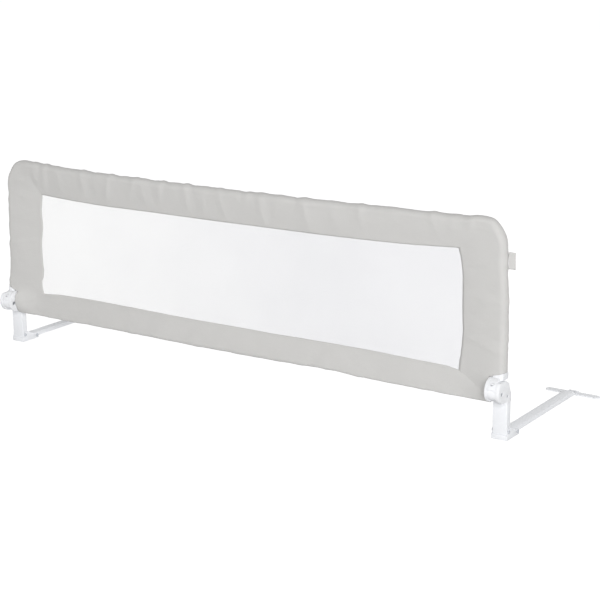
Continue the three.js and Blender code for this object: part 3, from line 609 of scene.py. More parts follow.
@dataclass
class SteelSupport(HardParts):
    """The upright, its shoe, the arm under the mattress and the strip across the arm's end."""

    tube_rounding: float = 0.5 * MM
    strip_rounding: float = 0.7 * MM
    rivet_rounding: float = 0.25 * MM
    small_rivet_rounding: float = 0.2 * MM

    def build(self) -> None:
        """Rounds and paints the steel pieces of one side."""
        steel, rivet = self.palette.steel, self.palette.rivet
        tube, small = self.tube_rounding, self.small_rivet_rounding
        self.rounded("foot_bracket", "pressed_shoe", steel, Slot.STEEL, tube)
        self.rounded("upright", "upright_tube", steel, Slot.STEEL, tube)
        self.rounded("arm", "arm_tube", steel, Slot.STEEL, tube)
        self.rounded("crossbar", "cross_strip", steel, Slot.STEEL, self.strip_rounding)
        self.rounded("upright_rivet", "shoe_rivet", rivet, Slot.ZINC, self.rivet_rounding)
        self.rounded("arm_rivet", "arm_pivot_rivet", rivet, Slot.ZINC, self.rivet_rounding)
        self.rounded("crossbar_rivet_inner", "strip_rivet_inner", rivet, Slot.ZINC, small)
        self.rounded("crossbar_rivet_outer", "strip_rivet_outer", rivet, Slot.ZINC, small)


@dataclass
class MouldedHinge(HardParts):
    """The hinge's cheeks and knuckle, its bolts, its release button and the coil behind that."""

    cheek_rounding: float = 1.1 * MM
    knuckle_rounding: float = 0.7 * MM
    button_rounding: float = 0.3 * MM
    fastener_rounding: float = 0.25 * MM
    inward: tuple[float, float, float] = (0.0, 0.309017, -0.951057)  # the button's way in
    travel: float = 2.6 * MM

    def build(self) -> None:
        """Rounds and finishes the hinge pieces of one side."""
        plastic, zinc = self.palette.plastic, self.palette.zinc
        cheek, head = self.cheek_rounding, self.fastener_rounding
        self.rounded("hinge_base", "hinge_outer_moulding", plastic, Slot.PLASTIC, cheek)
        self.rounded("hinge_cover", "hinge_inner_moulding", plastic, Slot.PLASTIC, cheek)
        self.rounded(
            "hinge_knuckle", "hinge_knuckle_moulding", plastic, Slot.PLASTIC, self.knuckle_rounding
        )
        self.rounded(
            "release_button", "button_moulding", plastic, Slot.PLASTIC, self.button_rounding
        )
        self.rounded("pivot_bolt", "pivot_screw", zinc, Slot.ZINC, head)
        self.rounded("clamp_bolt", "clamp_screw", zinc, Slot.ZINC, head)
        self.rounded("pivot_nut", "pivot_hex_nut", zinc, Slot.ZINC, head)
        self.rounded("clamp_nut", "clamp_hex_nut", zinc, Slot.ZINC, head)
        self.coil()

    def coil(self) -> None:
        """Copies the button's coil onto the panel's body."""
        side = self.side.value
        node = f"{side}_button_spring"
        shape = welded_copy(self.nodes[node])
        coil = finished(shape, f"{side}_button_coil", self.palette.zinc, "panel")
        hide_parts(node)
        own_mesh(coil)


@dataclass(frozen=True)
class Drift:
    """How far a seam wanders from its straight line: pairs of a place and an offset, in metres."""

    points: tuple[tuple[float, float], ...] = ((0.0, 0.0),)

    def at(self, place: float) -> float:
        """Finds the offset at a place, eased between the pairs.

        Args:
            place: The place along the seam, in metres.

        Returns:
            The offset there.
        """
        if place <= self.points[0][0]:
            return self.points[0][1]
        for (low, first), (high, second) in zip(self.points, self.points[1:]):
            if place <= high:
                return first + (second - first) * eased((place - low) / (high - low))
        return self.points[-1][1]


def millimetres(*pairs: tuple[float, float]) -> Drift:
    """Makes a drift from pairs in millimetres."""
    return Drift(tuple((place * MM, offset * MM) for place, offset in pairs))


@dataclass(frozen=True)
class ClothEdge:
    """A rounded loop in the panel's plane, drawn out of line by sagging and sewing, in metres."""

    half: float  # half its width
    top: float
    bottom: float
    top_corner: float
    bottom_corner: float
    sag: float = 0.0
    rise: float = 0.0
    lean_right: float = 0.0
    lean_left: float = 0.0
    lean_from: float = 0.1905  # the sides lean inwards above this height
    drift_reach: float = 30 * MM  # a drift is felt this far in from the edge
    drift_run: float = 20 * MM  # and is whole after this much of that
    drift_top: Drift = Drift()
    drift_bottom: Drift = Drift()
    drift_right: Drift = Drift()
    drift_left: Drift = Drift()

    @property
    def middle(self) -> float:
        """The height of the loop's middle."""
        return (self.top + self.bottom) / 2

    def grown(self, extra: float, corner: float) -> "ClothEdge":
        """Makes the same edge, a distance further out.

        Args:
            extra: The distance.
            corner: The radius of its corners.

        Returns:
            The larger edge.
        """
        return replace(
            self,
            half=self.half + extra,
            top=self.top + extra,
            bottom=self.bottom - extra,
            top_corner=corner,
            bottom_corner=corner,
        )

    def felt(self, outside: float) -> float:
        """How much of a drift is felt at a distance outside the straight loop."""
        return clamp((outside + self.drift_reach) / self.drift_run)

    def bent(self, x: float, z: float) -> Vector:
        """Moves a point of the straight loop to where the cloth hangs.

        Args:
            x: The point's place along the rail.
            z: Its height.

        Returns:
            Where it hangs, as X and Z.
        """
        reach = self.top - self.middle
        up, along = (z - self.middle) / reach, x / self.half
        droop = self.rise * max(0.0, -up) - self.sag * max(0.0, up)
        lean = self.lean_right if x > 0 else self.lean_left
        side = self.drift_right if x > 0 else self.drift_left
        end = self.drift_top if up > 0 else self.drift_bottom
        shift = -lean * max(0.0, (z - self.lean_from) / (self.top - self.lean_from))
        shift += self.felt(abs(x) - self.half) * side.at(z)
        lift = droop * max(0.0, 1 - along * along)
        lift += self.felt(abs(z - self.middle) - reach) * end.at(x)
        return Vector((x + along * shift, z + lift))

    def stations(self, runs: tuple[int, int, int], corners: tuple[int, int]) -> list[Vector]:
        """Spreads stations along the loop.

        Args:
            runs: Steps along the bottom, each side and the top.
            corners: Steps round each bottom and each top corner.

        Returns:
            The loop's points, from the right end of the bottom, in order.
        """
        low_x, high_x = self.half - self.bottom_corner, self.half - self.top_corner
        low_z, high_z = self.bottom + self.bottom_corner, self.top - self.top_corner
        bottom_run, side_run, top_run = runs
        low_steps, high_steps = corners
        plan = [
            (low_x, low_z, self.bottom_corner, -90, low_steps, side_run),
            (high_x, high_z, self.top_corner, 0, high_steps, top_run),
            (-high_x, high_z, self.top_corner, 90, high_steps, side_run),
            (-low_x, low_z, self.bottom_corner, 180, low_steps, bottom_run),
        ]
        quarters = []
        for x, z, radius, start, steps, _ in plan:
            turns = [math.radians(start + 90 * step / steps) for step in range(steps + 1)]
            quarters.append(
                [Vector((x + radius * math.cos(t), z + radius * math.sin(t))) for t in turns]
            )
        points: list[Vector] = []
        for quarter, after, corner in zip(quarters, quarters[1:] + quarters[:1], plan):
            run = corner[-1]
            points += quarter
            points += [quarter[-1].lerp(after[0], step / run) for step in range(1, run)]
        return [self.bent(point.x, point.y) for point in points]


PANEL_EDGE = ClothEdge(
    half=0.750,
    top=0.5045,
    bottom=0.084,
    top_corner=0.065,
    bottom_corner=0.003,
    sag=0.0105,
    lean_right=5.5 * MM,
    lean_left=11 * MM,
    drift_left=millimetres(
        (150, 7), (172, 6), (188, 1.5), (215, -1), (250, -1.5), (400, -1), (430, -1.2), (475, -1.2)
    ),
    drift_right=millimetres((150, 0), (200, 0.8), (235, 1.8), (300, 2.6), (350, 1.6), (400, 0)),
    drift_top=millimetres(
        (-710, 4.5), (-650, 2.5), (-595, 1.2), (-560, 0), (480, 0), (560, -2), (654, -3), (690, 0),
        (726, 4),
    ),
    drift_bottom=millimetres(
        (-640, 0), (-510, -0.6), (-457, 0.5), (-405, -0.1), (-353, 0.3), (-303, -1.1), (-253, 0.1),
        (-203, -2), (34, -1.7), (79, -0.7), (124, -2), (169, 0.4), (213, -0.1), (256, 3.1),
        (299, 2.8), (341, 0.5), (382, -0.8), (423, -1.7), (600, -1.8), (700, -1),
    ),
)
WINDOW_EDGE = ClothEdge(
    half=0.632,
    top=0.420,
    bottom=0.147,
    top_corner=0.002,
    bottom_corner=0.002,
    sag=0.0095,
    rise=0.005,
    drift_top=millimetres(
        (-607, -0.7), (-551, -1.9), (-495, -2.8), (-440, -3.2), (-385, -2.9), (-332, -1.6),
        (-227, -0.1), (-100, 0.5), (50, 1), (160, 0.9), (260, 0.2), (400, 0.1), (471, 0.5),
        (513, 1.1), (554, 2.5), (594, 3.9), (620, 4.3),
    ),
    drift_bottom=millimetres(
        (-630, 1.2), (-569, 4.8), (-512, 5.3), (-455, 4.9), (-345, 3.1), (-239, 0.9), (-187, -0.2),
        (-100, -0.9), (60, -0.4), (111, -0.9), (205, 0.9), (297, 2.2), (386, 3), (429, 2.7),
        (515, 1.7), (600, 1.7), (621, -1), (631, -3),
    ),
    drift_right=millimetres(
        (145, -1.6), (153, -1.4), (167, 0.1), (182, 3.2), (210, 6), (238, 7.8), (266, 6.4),
        (300, 5.6), (362, 5.3), (375, 4.3), (389, 2.3), (402, -0.6), (415, -4.8), (424, -7),
    ),
    drift_left=millimetres(
        (147, 2.3), (163, 6.4), (179, 7.3), (197, 0.1), (214, -2.3), (230, -0.4), (263, 0.6),
        (279, 0.1), (296, -1.1), (313, -4), (329, -6.8), (346, -7), (362, -5.8), (378, -5.9),
        (394, -7.9), (411, -10.1), (420, -11.1),
    ),
)


@dataclass(frozen=True)
class Fold:
    """One gather or crease in the cloth, in metres."""

    place: float  # along X on the long sides, along Z on the short ones
    height: float
    width: float
    lean: float  # how far it shifts for each metre towards the window
    reach: float  # how far it runs from the rim
    tail: float = 3.0  # a fold ends this many widths from its middle
    fade: float = 0.18  # and dies out over this share of its reach

    def lift(self, place: float, inward: float) -> float:
        """Finds how far the fold lifts the cloth at a point.

        Args:
            place: The point's place along the band.
            inward: Its distance from the rim.

        Returns:
            The lift.
        """
        across = (place - self.place - self.lean * inward) / self.width
        if abs(across) > self.tail:
            return 0.0
        fade = 1 / (1 + math.exp((inward - self.reach) / (self.fade * self.reach)))
        return self.height * math.exp(-across * across) * fade


@dataclass(frozen=True)
class Creases:
    """The small creases of one band: how many there are, and the range of each size."""

    count: int
    places: tuple[float, float]  # the ends of the band, in metres
    heights: tuple[float, float]  # in millimetres, as are the widths and reaches
    widths: tuple[float, float]
    lean: float  # the most, to either side
    reaches: tuple[float, float]

    def drawn(self, chance: random.Random) -> list[Fold]:
        """Draws the sizes of all the creases.

        Args:
            chance: The seeded source of the sizes.

        Returns:
            The creases.
        """
        return [
            Fold(
                place=chance.uniform(*self.places),
                height=chance.choice((-1, 1)) * chance.uniform(*self.heights) * MM,
                width=chance.uniform(*self.widths) * MM,
                lean=chance.uniform(-self.lean, self.lean),
                reach=chance.uniform(*self.reaches) * MM,
            )
            for _ in range(self.count)
        ]


def thicken(piece: bpy.types.Object, name: str, thickness: float) -> None:
    """Gives a sheet its thickness, inwards from its face.

    Args:
        piece: The sheet.
        name: The modifier's name.
        thickness: The thickness, in metres.
    """
    wall = piece.modifiers.new(name, "SOLIDIFY")
    wall.thickness = thickness
    wall.offset = -1


def lay_flat_uv(shape: bmesh.types.BMesh) -> None:
    """Gives each corner of a sheet its place along X and Z as its UV.

    Args:
        shape: The sheet, in its place.
    """
    layer = shape.loops.layers.uv.new("cloth")
    for face in shape.faces:
        for loop in face.loops:
            loop[layer].uv = (loop.vert.co.x, loop.vert.co.z)


@dataclass
class ClothCover:
    """The sewn cover: round over the tubes, drawn in to the window's seam, open at the hinges."""

    palette: Palette
    top_rim: float = 14 * MM
    bottom_rim: float = 10.5 * MM
    blend_height: float = 60 * MM  # the rim grows from the bottom's to the top's over this
    seam_half: float = 0.9 * MM
    thickness: float = 1.0 * MM
    # The grid: steps along the bottom, a side and the top, round a corner, and across the cloth
    runs: tuple[int, int, int] = (240, 62, 240)
    corners: tuple[int, int] = (2, 18)
    arc_rows: int = 6
    flat_rows: int = 18
    ring_weld: float = 0.02 * MM  # closes the ring where the grid's ends meet
    # The openings at the hinges
    hinge_from_x: float = 0.66
    hinge_top_z: float = 0.2
    past_side_x: float = 0.77
    hem_z: float = 0.1578
    hem_slant: float = 0.011
    shoulder_x: float = 0.7145
    sleeve_end_x: float = 0.7184
    round_radius: float = 0.006
    round_step: int = 15
    chord_share: float = 0.994  # a face beside the round's chords is this near to it or nearer
    shoulder_drop: float = 0.019
    right_bulge: float = 12 * MM
    left_bulge: float = 22 * MM
    bulge_run: float = 75 * MM
    turned_in: float = 0.4 * MM
    # The wrinkles
    seed: int = 11
    seam_calm: float = 12 * MM  # wrinkles die out over this towards the window's seam
    hem_calm: float = 30 * MM  # and over this towards a sleeve's hem
    hem_calm_x: float = 0.68
    side_from_x: float = 0.66  # the long sides' folds give way to the short ones' from here
    side_run: float = 0.07
    back_shift: float = 0.04  # keeps the back's folds apart from the front's
    face_shift: float = 2.7  # and the back's buckles
    buckle: float = 1.6 * MM
    buckles: float = 9.0  # for each metre
    buckle_from: float = 30 * MM  # full this far from the rim
    pucker: float = 0.8 * MM
    pucker_share: float = 3.2  # puckers for each buckle
    deepest: float = -1.5 * MM
    gather_reach: tuple[float, float] = (40, 85)
    gathers: tuple[tuple[float, float, float, float], ...] = (
        # Each main gather's place along the top, height and width, in millimetres, and its lean
        (-641, 1.6, 10, 0.10),
        (-599, 2.2, 9, -0.12),
        (-560, 1.4, 12, 0.20),
        (-470, 2.4, 10, 0.05),
        (-440, -1.2, 12, -0.10),
        (-375, 2.3, 8, -0.25),
        (-352, -1.3, 10, -0.20),
        (-292, 2.2, 9, -0.30),
        (-270, 1.1, 10, 0.05),
        (-243, -1.0, 9, 0.15),
        (-205, 1.8, 9, -0.20),
        (-132, 2.6, 9, 0.10),
        (-110, -1.2, 9, 0.15),
        (-70, 1.5, 10, -0.15),
        (-28, 2.0, 9, 0.25),
        (40, -1.0, 12, 0.20),
        (92, 2.2, 10, 0.15),
        (150, 1.2, 12, -0.25),
        (218, 1.9, 10, 0.20),
        (290, 1.1, 12, 0.30),
        (372, 1.8, 11, 0.15),
        (455, 0.9, 14, 0.30),
        (563, 1.8, 12, 0.25),
        (620, 1.5, 10, -0.15),
        (668, 2.0, 10, -0.30),
    )
    top: Creases = Creases(70, (-0.68, 0.70), (0.2, 0.8), (4, 9), 0.4, (22, 80))
    bottom: Creases = Creases(46, (-0.68, 0.68), (0.2, 0.8), (8, 18), 0.9, (20, 60))
    right: Creases = Creases(26, (0.17, 0.47), (0.3, 1.1), (5, 11), 0.45, (50, 130))
    left: Creases = Creases(30, (0.17, 0.47), (0.2, 0.8), (5, 11), 0.35, (50, 130))
    folds: dict[str, list[Fold]] = field(init=False)
    surface: BVHTree | None = field(default=None, init=False)

    def __post_init__(self) -> None:
        """Draws the folds once, from a fixed seed."""
        chance = random.Random(self.seed)
        gathers = [
            Fold(place * MM, height * MM, width * MM, lean, chance.uniform(*self.gather_reach) * MM)
            for place, height, width, lean in self.gathers
        ]
        self.folds = {
            "top": gathers + self.top.drawn(chance),
            "bottom": self.bottom.drawn(chance),
            "right": self.right.drawn(chance),
            "left": self.left.drawn(chance),
        }

    def wrinkle(
        self, edge: Vector, point: Vector, inward: float, width: float, face: Face
    ) -> float:
        """Finds how far the cloth stands off its smooth shape.

        Args:
            edge: The station's point on the outer edge.
            point: The point itself, in the panel's plane.
            inward: Its distance from the outer edge along the cloth.
            width: The cloth's whole distance from the edge to the seam there.
            face: The face that it lies on.

        Returns:
            The distance along the outward normal.
        """
        long_side = "top" if edge.y > PANEL_EDGE.middle else "bottom"
        short_side = "right" if edge.x > 0 else "left"
        share = clamp((abs(edge.x) - self.side_from_x) / self.side_run)
        lift = 0.0
        if share < 1:
            folds = self.folds[long_side]
            lift += (1 - share) * sum(fold.lift(point.x, inward) for fold in folds)
        if share > 0:
            height = point.y + (self.back_shift if face is Face.BACK else 0.0)
            lift += share * sum(fold.lift(height, inward) for fold in self.folds[short_side])
        spot = Vector((point.x, 0, point.y)) * self.buckles
        spot.y = face.value * self.face_shift
        lift += self.buckle * noise.noise(spot) * min(1.0, inward / self.buckle_from)
        lift += self.pucker * noise.noise(spot * self.pucker_share)
        lift *= eased(clamp((width - inward) / self.seam_calm))
        if abs(point.x) > self.hem_calm_x and point.y < self.hinge_top_z:
            lift = max(lift, 0.0) * clamp((point.y - self.hem_z) / self.hem_calm)
        return max(lift, self.deepest)

    def section(self, edge: Vector, seam: Vector, row: int) -> tuple[Vector, float, float]:
        """Finds a point of the smooth cover.

        Args:
            edge: The station's point on the outer edge.
            seam: The station's point on the window's edge.
            row: The row, from 0 on the rim; the front's rows are negative.

        Returns:
            The point in the row frame, its distance from the outer edge, and the whole distance.
        """
        across = seam - edge
        width = across.length
        across.normalize()
        grow = clamp((edge.y - PANEL_EDGE.bottom) / self.blend_height)
        rim = self.bottom_rim + (self.top_rim - self.bottom_rim) * eased(grow)
        if abs(row) <= self.arc_rows:
            angle = math.pi / 2 * abs(row) / self.arc_rows
            inward, height = rim * (1 - math.cos(angle)), rim * math.sin(angle)
        else:
            share = (abs(row) - self.arc_rows) / self.flat_rows
            inward = rim + share * (width - rim)
            drawn = (math.cos(math.pi / 2 * share) + 1 - share) / 2
            height = self.seam_half + (rim - self.seam_half) * drawn
        point = edge + across * inward
        if row < 0:
            height *= -1 - self.bulge_at(point) / rim
        return Vector((point.x, PANEL_Y + height, point.y)), inward, width

    def bulge_at(self, point: Vector) -> float:
        """Finds how far the cloth's front stands forward beside a hinge.

        Args:
            point: A point in the panel's plane.

        Returns:
            The distance, for the full thickness of the cover.
        """
        near = clamp((abs(point.x) - self.sleeve_end_x + self.bulge_run) / self.bulge_run)
        rise = clamp((point.y - PANEL_EDGE.bottom) / (self.hem_z - PANEL_EDGE.bottom))
        bulge = self.right_bulge if point.x > 0 else self.left_bulge
        return bulge * eased(near) * math.sin(math.pi * rise)

    def hem_at(self, x: float) -> float:
        """Finds the height of the side sleeve's hem, which falls towards its inner end."""
        inner = (PANEL_EDGE.half - x) / (PANEL_EDGE.half - self.shoulder_x)
        return self.hem_z - self.hem_slant * inner

    def round_centre(self) -> Vector:
        """Finds the centre of the round at the opening's inner corner."""
        radius = self.round_radius
        return Vector((self.sleeve_end_x - radius, PANEL_EDGE.bottom + radius))

    def is_cut(self, x: float, z: float) -> bool:
        """Tells whether a point lies in an opening.

        Args:
            x: The point's distance from the rail's middle.
            z: Its height.

        Returns:
            True where there is no cloth.
        """
        centre = self.round_centre()
        shoulder, straight = self.hem_at(self.shoulder_x), self.hem_z - self.shoulder_drop
        if x < centre.x or z > self.hem_at(x):
            return False
        if z > straight:
            share = (shoulder - z) / (shoulder - straight)
            return x > self.shoulder_x + share * (self.sleeve_end_x - self.shoulder_x)
        if z > centre.y:
            return x > self.sleeve_end_x
        return (Vector((x, z)) - centre).length > self.round_radius * self.chord_share

    def cut_corner(self, shape: bmesh.types.BMesh, side: Side) -> None:
        """Cuts the cloth away round a hinge.

        Args:
            shape: The cover.
            side: The side whose lower corner is cut.
        """
        turns = [math.radians(degrees) for degrees in range(0, -91, -self.round_step)]
        outline = [Vector((x, self.hem_at(x))) for x in (self.past_side_x, self.shoulder_x)]
        outline.append(Vector((self.sleeve_end_x, self.hem_z - self.shoulder_drop)))
        outline += [
            self.round_centre() + Vector((math.cos(turn), math.sin(turn))) * self.round_radius
            for turn in turns
        ]
        for low, high in zip(outline, outline[1:]):
            middles = ((face, face.calc_center_median()) for face in shape.faces)
            near = [
                face
                for face, middle in middles
                if middle.x * side.sign > self.hinge_from_x and middle.z < self.hinge_top_z
            ]
            verts = {vert for face in near for vert in face.verts}
            edges = {edge for face in near for edge in face.edges}
            along = (high - low).normalized()
            bmesh.ops.bisect_plane(
                shape,
                geom=[*verts, *edges, *near],
                dist=1e-6,
                plane_co=(low.x * side.sign, 0, low.y),
                plane_no=(-along.y, 0, along.x * side.sign),
            )
        middles = ((face, face.calc_center_median()) for face in shape.faces)
        gone = [face for face, middle in middles if self.is_cut(middle.x * side.sign, middle.z)]
        bmesh.ops.delete(shape, geom=gone, context="FACES")

    def turn_in(self, shape: bmesh.types.BMesh) -> None:
        """Turns the cloth's cut edges in to the panel's middle, as hems.

        Args:
            shape: The cover after its corners are cut.
        """
        edges = [
            edge
            for edge in shape.edges
            if edge.is_boundary and all(abs(vert.co.x) > self.hinge_from_x for vert in edge.verts)
        ]
        made = bmesh.ops.extrude_edge_only(shape, edges=edges)
        for vert in (item for item in made["geom"] if isinstance(item, bmesh.types.BMVert)):
            across = vert.co.y - PANEL_Y
            vert.co.y = PANEL_Y + math.copysign(min(abs(across), self.turned_in), across)

    def shape(self) -> bmesh.types.BMesh:
        """Sews a flat grid into the cover's ring, with its wrinkles and its openings.

        Returns:
            The cover as one layer of cloth.
        """
        outer = PANEL_EDGE.stations(self.runs, self.corners)
        inner = WINDOW_EDGE.stations(self.runs, self.corners)
        count, rows = len(outer), self.arc_rows + self.flat_rows
        lengths = [0.0]
        for here, there in zip(outer, outer[1:] + outer[:1]):
            lengths.append(lengths[-1] + (there - here).length)
        shape = bmesh.new()
        uv_layer = shape.loops.layers.uv.new("cloth")
        bmesh.ops.create_grid(shape, x_segments=count, y_segments=2 * rows, size=1.0)
        lifts: dict[bmesh.types.BMVert, float] = {}
        flat: dict[bmesh.types.BMVert, tuple[float, float]] = {}
        for vert in shape.verts:
            station = round((vert.co.x + 1) / 2 * count)
            row = round((vert.co.y + 1) * rows) - rows
            edge, seam = outer[station % count], inner[station % count]
            face = Face.FRONT if row < 0 else Face.BACK
            vert.co, inward, width = self.section(edge, seam, row)
            lifts[vert] = self.wrinkle(edge, vert.co.xz, inward, width, face)
            flat[vert] = (lengths[station], face.value * inward)
        for quad in shape.faces:
            for loop in quad.loops:
                loop[uv_layer].uv = flat[loop.vert]
        bmesh.ops.reverse_faces(shape, faces=shape.faces)  # the grid lay with its back outwards
        shape.normal_update()
        ends = [vert for vert in shape.verts if vert.is_boundary]
        for vert in shape.verts:
            vert.co += vert.normal * lifts[vert]
        bmesh.ops.remove_doubles(shape, verts=ends, dist=self.ring_weld)
        for side in Side:
            self.cut_corner(shape, side)
        self.turn_in(shape)
        bmesh.ops.recalc_face_normals(shape, faces=shape.faces)
        return shape

    def build(self) -> bpy.types.Object:
        """Makes the cover and gives it its thickness.

        Returns:
            The cover.
        """
        shape = self.shape()
        self.surface = BVHTree.FromBMesh(shape)
        cloth = self.palette.cloth
        cover = finished(shape, "sewn_cloth_cover", cloth, "panel", SMOOTH)
        thicken(cover, "cloth_thickness", self.thickness)
        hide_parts("fabric_cover")
        return cover


@dataclass
class Netting:
    """The window's netting, stretched in the cover's seam with faint ripples."""

    palette: Palette
    tuck: float = 3 * MM  # how far it runs on under the cloth
    cell: float = 9 * MM
    ripple: float = 0.9 * MM
    ripples: tuple[float, float] = (5.0, 16.0)  # for each metre along the rail and upwards
    ripple_slice: float = 1.3  # which slice of the noise is used
    calm: float = 6.0  # how soon the ripples start beside the seam
    end_power: int = 4  # lets them run closer to the short ends than to the long sides

    def build(self) -> bpy.types.Object:
        """Makes the netting from a grid drawn to the window's outline.

        Returns:
            The netting.
        """
        columns = round(2 * WINDOW_EDGE.half / self.cell)
        rows = round((WINDOW_EDGE.top - WINDOW_EDGE.bottom) / self.cell)
        shape = bmesh.new()
        bmesh.ops.create_grid(shape, x_segments=columns, y_segments=rows, size=1.0)
        edge = WINDOW_EDGE.grown(self.tuck, self.tuck)
        along, up = self.ripples
        for vert in shape.verts:
            share = (vert.co.y + 1) / 2
            place = edge.bent(vert.co.x * edge.half, edge.bottom + (edge.top - edge.bottom) * share)
            rim = max(abs(vert.co.x) ** self.end_power, abs(vert.co.y))
            wave = noise.noise(Vector((place.x * along, self.ripple_slice, place.y * up)))
            lift = self.ripple * clamp(self.calm * (1 - rim)) * wave
            vert.co = Vector((place.x, PANEL_Y + lift, place.y))
        lay_flat_uv(shape)
        net = finished(shape, "window_netting", self.palette.net, "panel", SMOOTH)
        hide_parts("mesh_window")
        return net


@dataclass
class LabelTab:
    """A folded ribbon in the side seam, left bare."""

    palette: Palette
    thickness: float = 0.5 * MM
    fold_radius: float = 0.8 * MM
    start_x: float = 0.7490
    end_x: float = 0.7660
    low_z: float = 0.3915
    high_z: float = 0.4295
    curl: float = 0.5 * MM  # how far its free end bows forward
    steps: tuple[int, int] = (34, 14)

    def build(self) -> bpy.types.Object:
        """Bends a grid into the fold, with its cut ends in the seam.

        Returns:
            The tab.
        """
        shape = bmesh.new()
        columns, rows = self.steps
        bmesh.ops.create_grid(shape, x_segments=columns, y_segments=rows, size=1.0)
        reach = self.end_x - self.start_x - self.fold_radius
        whole = 2 * reach + math.pi * self.fold_radius
        for vert in shape.verts:
            along, up = (vert.co.x + 1) / 2 * whole, (vert.co.y + 1) / 2
            if along < reach:
                x, y = self.start_x + along, -self.fold_radius
            elif along > whole - reach:
                x, y = self.start_x + whole - along, self.fold_radius
            else:
                turn = (along - reach) / self.fold_radius
                x = self.start_x + reach + self.fold_radius * math.sin(turn)
                y = -self.fold_radius * math.cos(turn)
            free = (x - self.start_x) / (self.end_x - self.start_x)
            bow = self.curl * math.sin(math.pi * up) * free
            z = self.low_z + up * (self.high_z - self.low_z)
            vert.co = Vector((x, PANEL_Y + y - bow, z))
        lay_flat_uv(shape)
        ribbon = self.palette.ribbon
        tab = finished(shape, "folded_ribbon_tab", ribbon, "panel", SMOOTH)
        thicken(tab, "ribbon_thickness", self.thickness)
        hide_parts("label_tab")
        return tab


@dataclass
class Topstitching:
    """Lockstitch beside the window's seam, on both faces."""

    palette: Palette
    surface: BVHTree
    pitch: float = 4.2 * MM
    length: float = 3.1 * MM
    radius: float = 0.32 * MM
    lift: float = 0.3  # how far a stitch's middle stands off the cloth, as a share of its radius
    inset: float = 5 * MM
    runs: tuple[int, int, int] = (500, 120, 500)
    corners: tuple[int, int] = (5, 5)
    search: float = 0.05  # the cloth is looked for from this far off the panel's middle
    row: int = 24  # stitches that are made together

    def line(self, face: Face) -> list[tuple[Vector, Vector]]:
        """Finds the stitches' places along the window on one face.

        Args:
            face: The cover's face.

        Returns:
            Each stitch's point on the cloth and its direction.
        """
        edge = WINDOW_EDGE.grown(self.inset, 2 * self.inset)
        loop = edge.stations(self.runs, self.corners)
        places, carried = [], 0.0
        for here, there in zip(loop, loop[1:] + loop[:1]):
            step = there - here
            carried += step.length
            if carried < self.pitch:
                continue
            carried = 0.0
            start = Vector((here.x, PANEL_Y + face.value * self.search, here.y))
            point = self.surface.ray_cast(start, Vector((0, -face.value, 0)))[0]
            if point is not None:
                places.append((point, Vector((step.x, 0, step.y)).normalized()))
        return places

    def stitch(self, shape: bmesh.types.BMesh, place: Vector, along: Vector, face: Face) -> None:
        """Adds one stitch, a slim bead of thread that lies half in the cloth.

        Args:
            shape: The stitches made so far.
            place: Its point on the cloth.
            along: Its direction.
            face: The cover's face.
        """
        frame = along.to_track_quat("Z", "Y").to_matrix().to_4x4()
        squeeze = Matrix.Diagonal((self.radius, self.radius, self.length / 2, 1))
        off = Vector((0, face.value * self.radius * self.lift, 0))
        matrix = Matrix.Translation(place + off) @ frame @ squeeze
        bmesh.ops.create_uvsphere(shape, u_segments=6, v_segments=4, radius=1.0, matrix=matrix)

    def build(self) -> bpy.types.Object:
        """Makes all the stitches as one piece, a short row at a time.

        Returns:
            The stitching.
        """
        shape = bmesh.new()
        for face in Face:
            places = self.line(face)
            for first in range(0, len(places), self.row):
                row = bmesh.new()
                for place, along in places[first : first + self.row]:
                    self.stitch(row, place, along, face)
                made = bpy.data.meshes.new("stitch_row")
                row.to_mesh(made)
                row.free()
                shape.from_mesh(made)
                bpy.data.meshes.remove(made)
        thread = self.palette.thread
        return finished(shape, "window_topstitching", thread, "panel", SMOOTH)


@dataclass(frozen=True)
class Softbox:
    """A soft square lamp."""

    name: str
    place: tuple[float, float, float]
    size: float  # its side, in metres
    power: float  # in watts


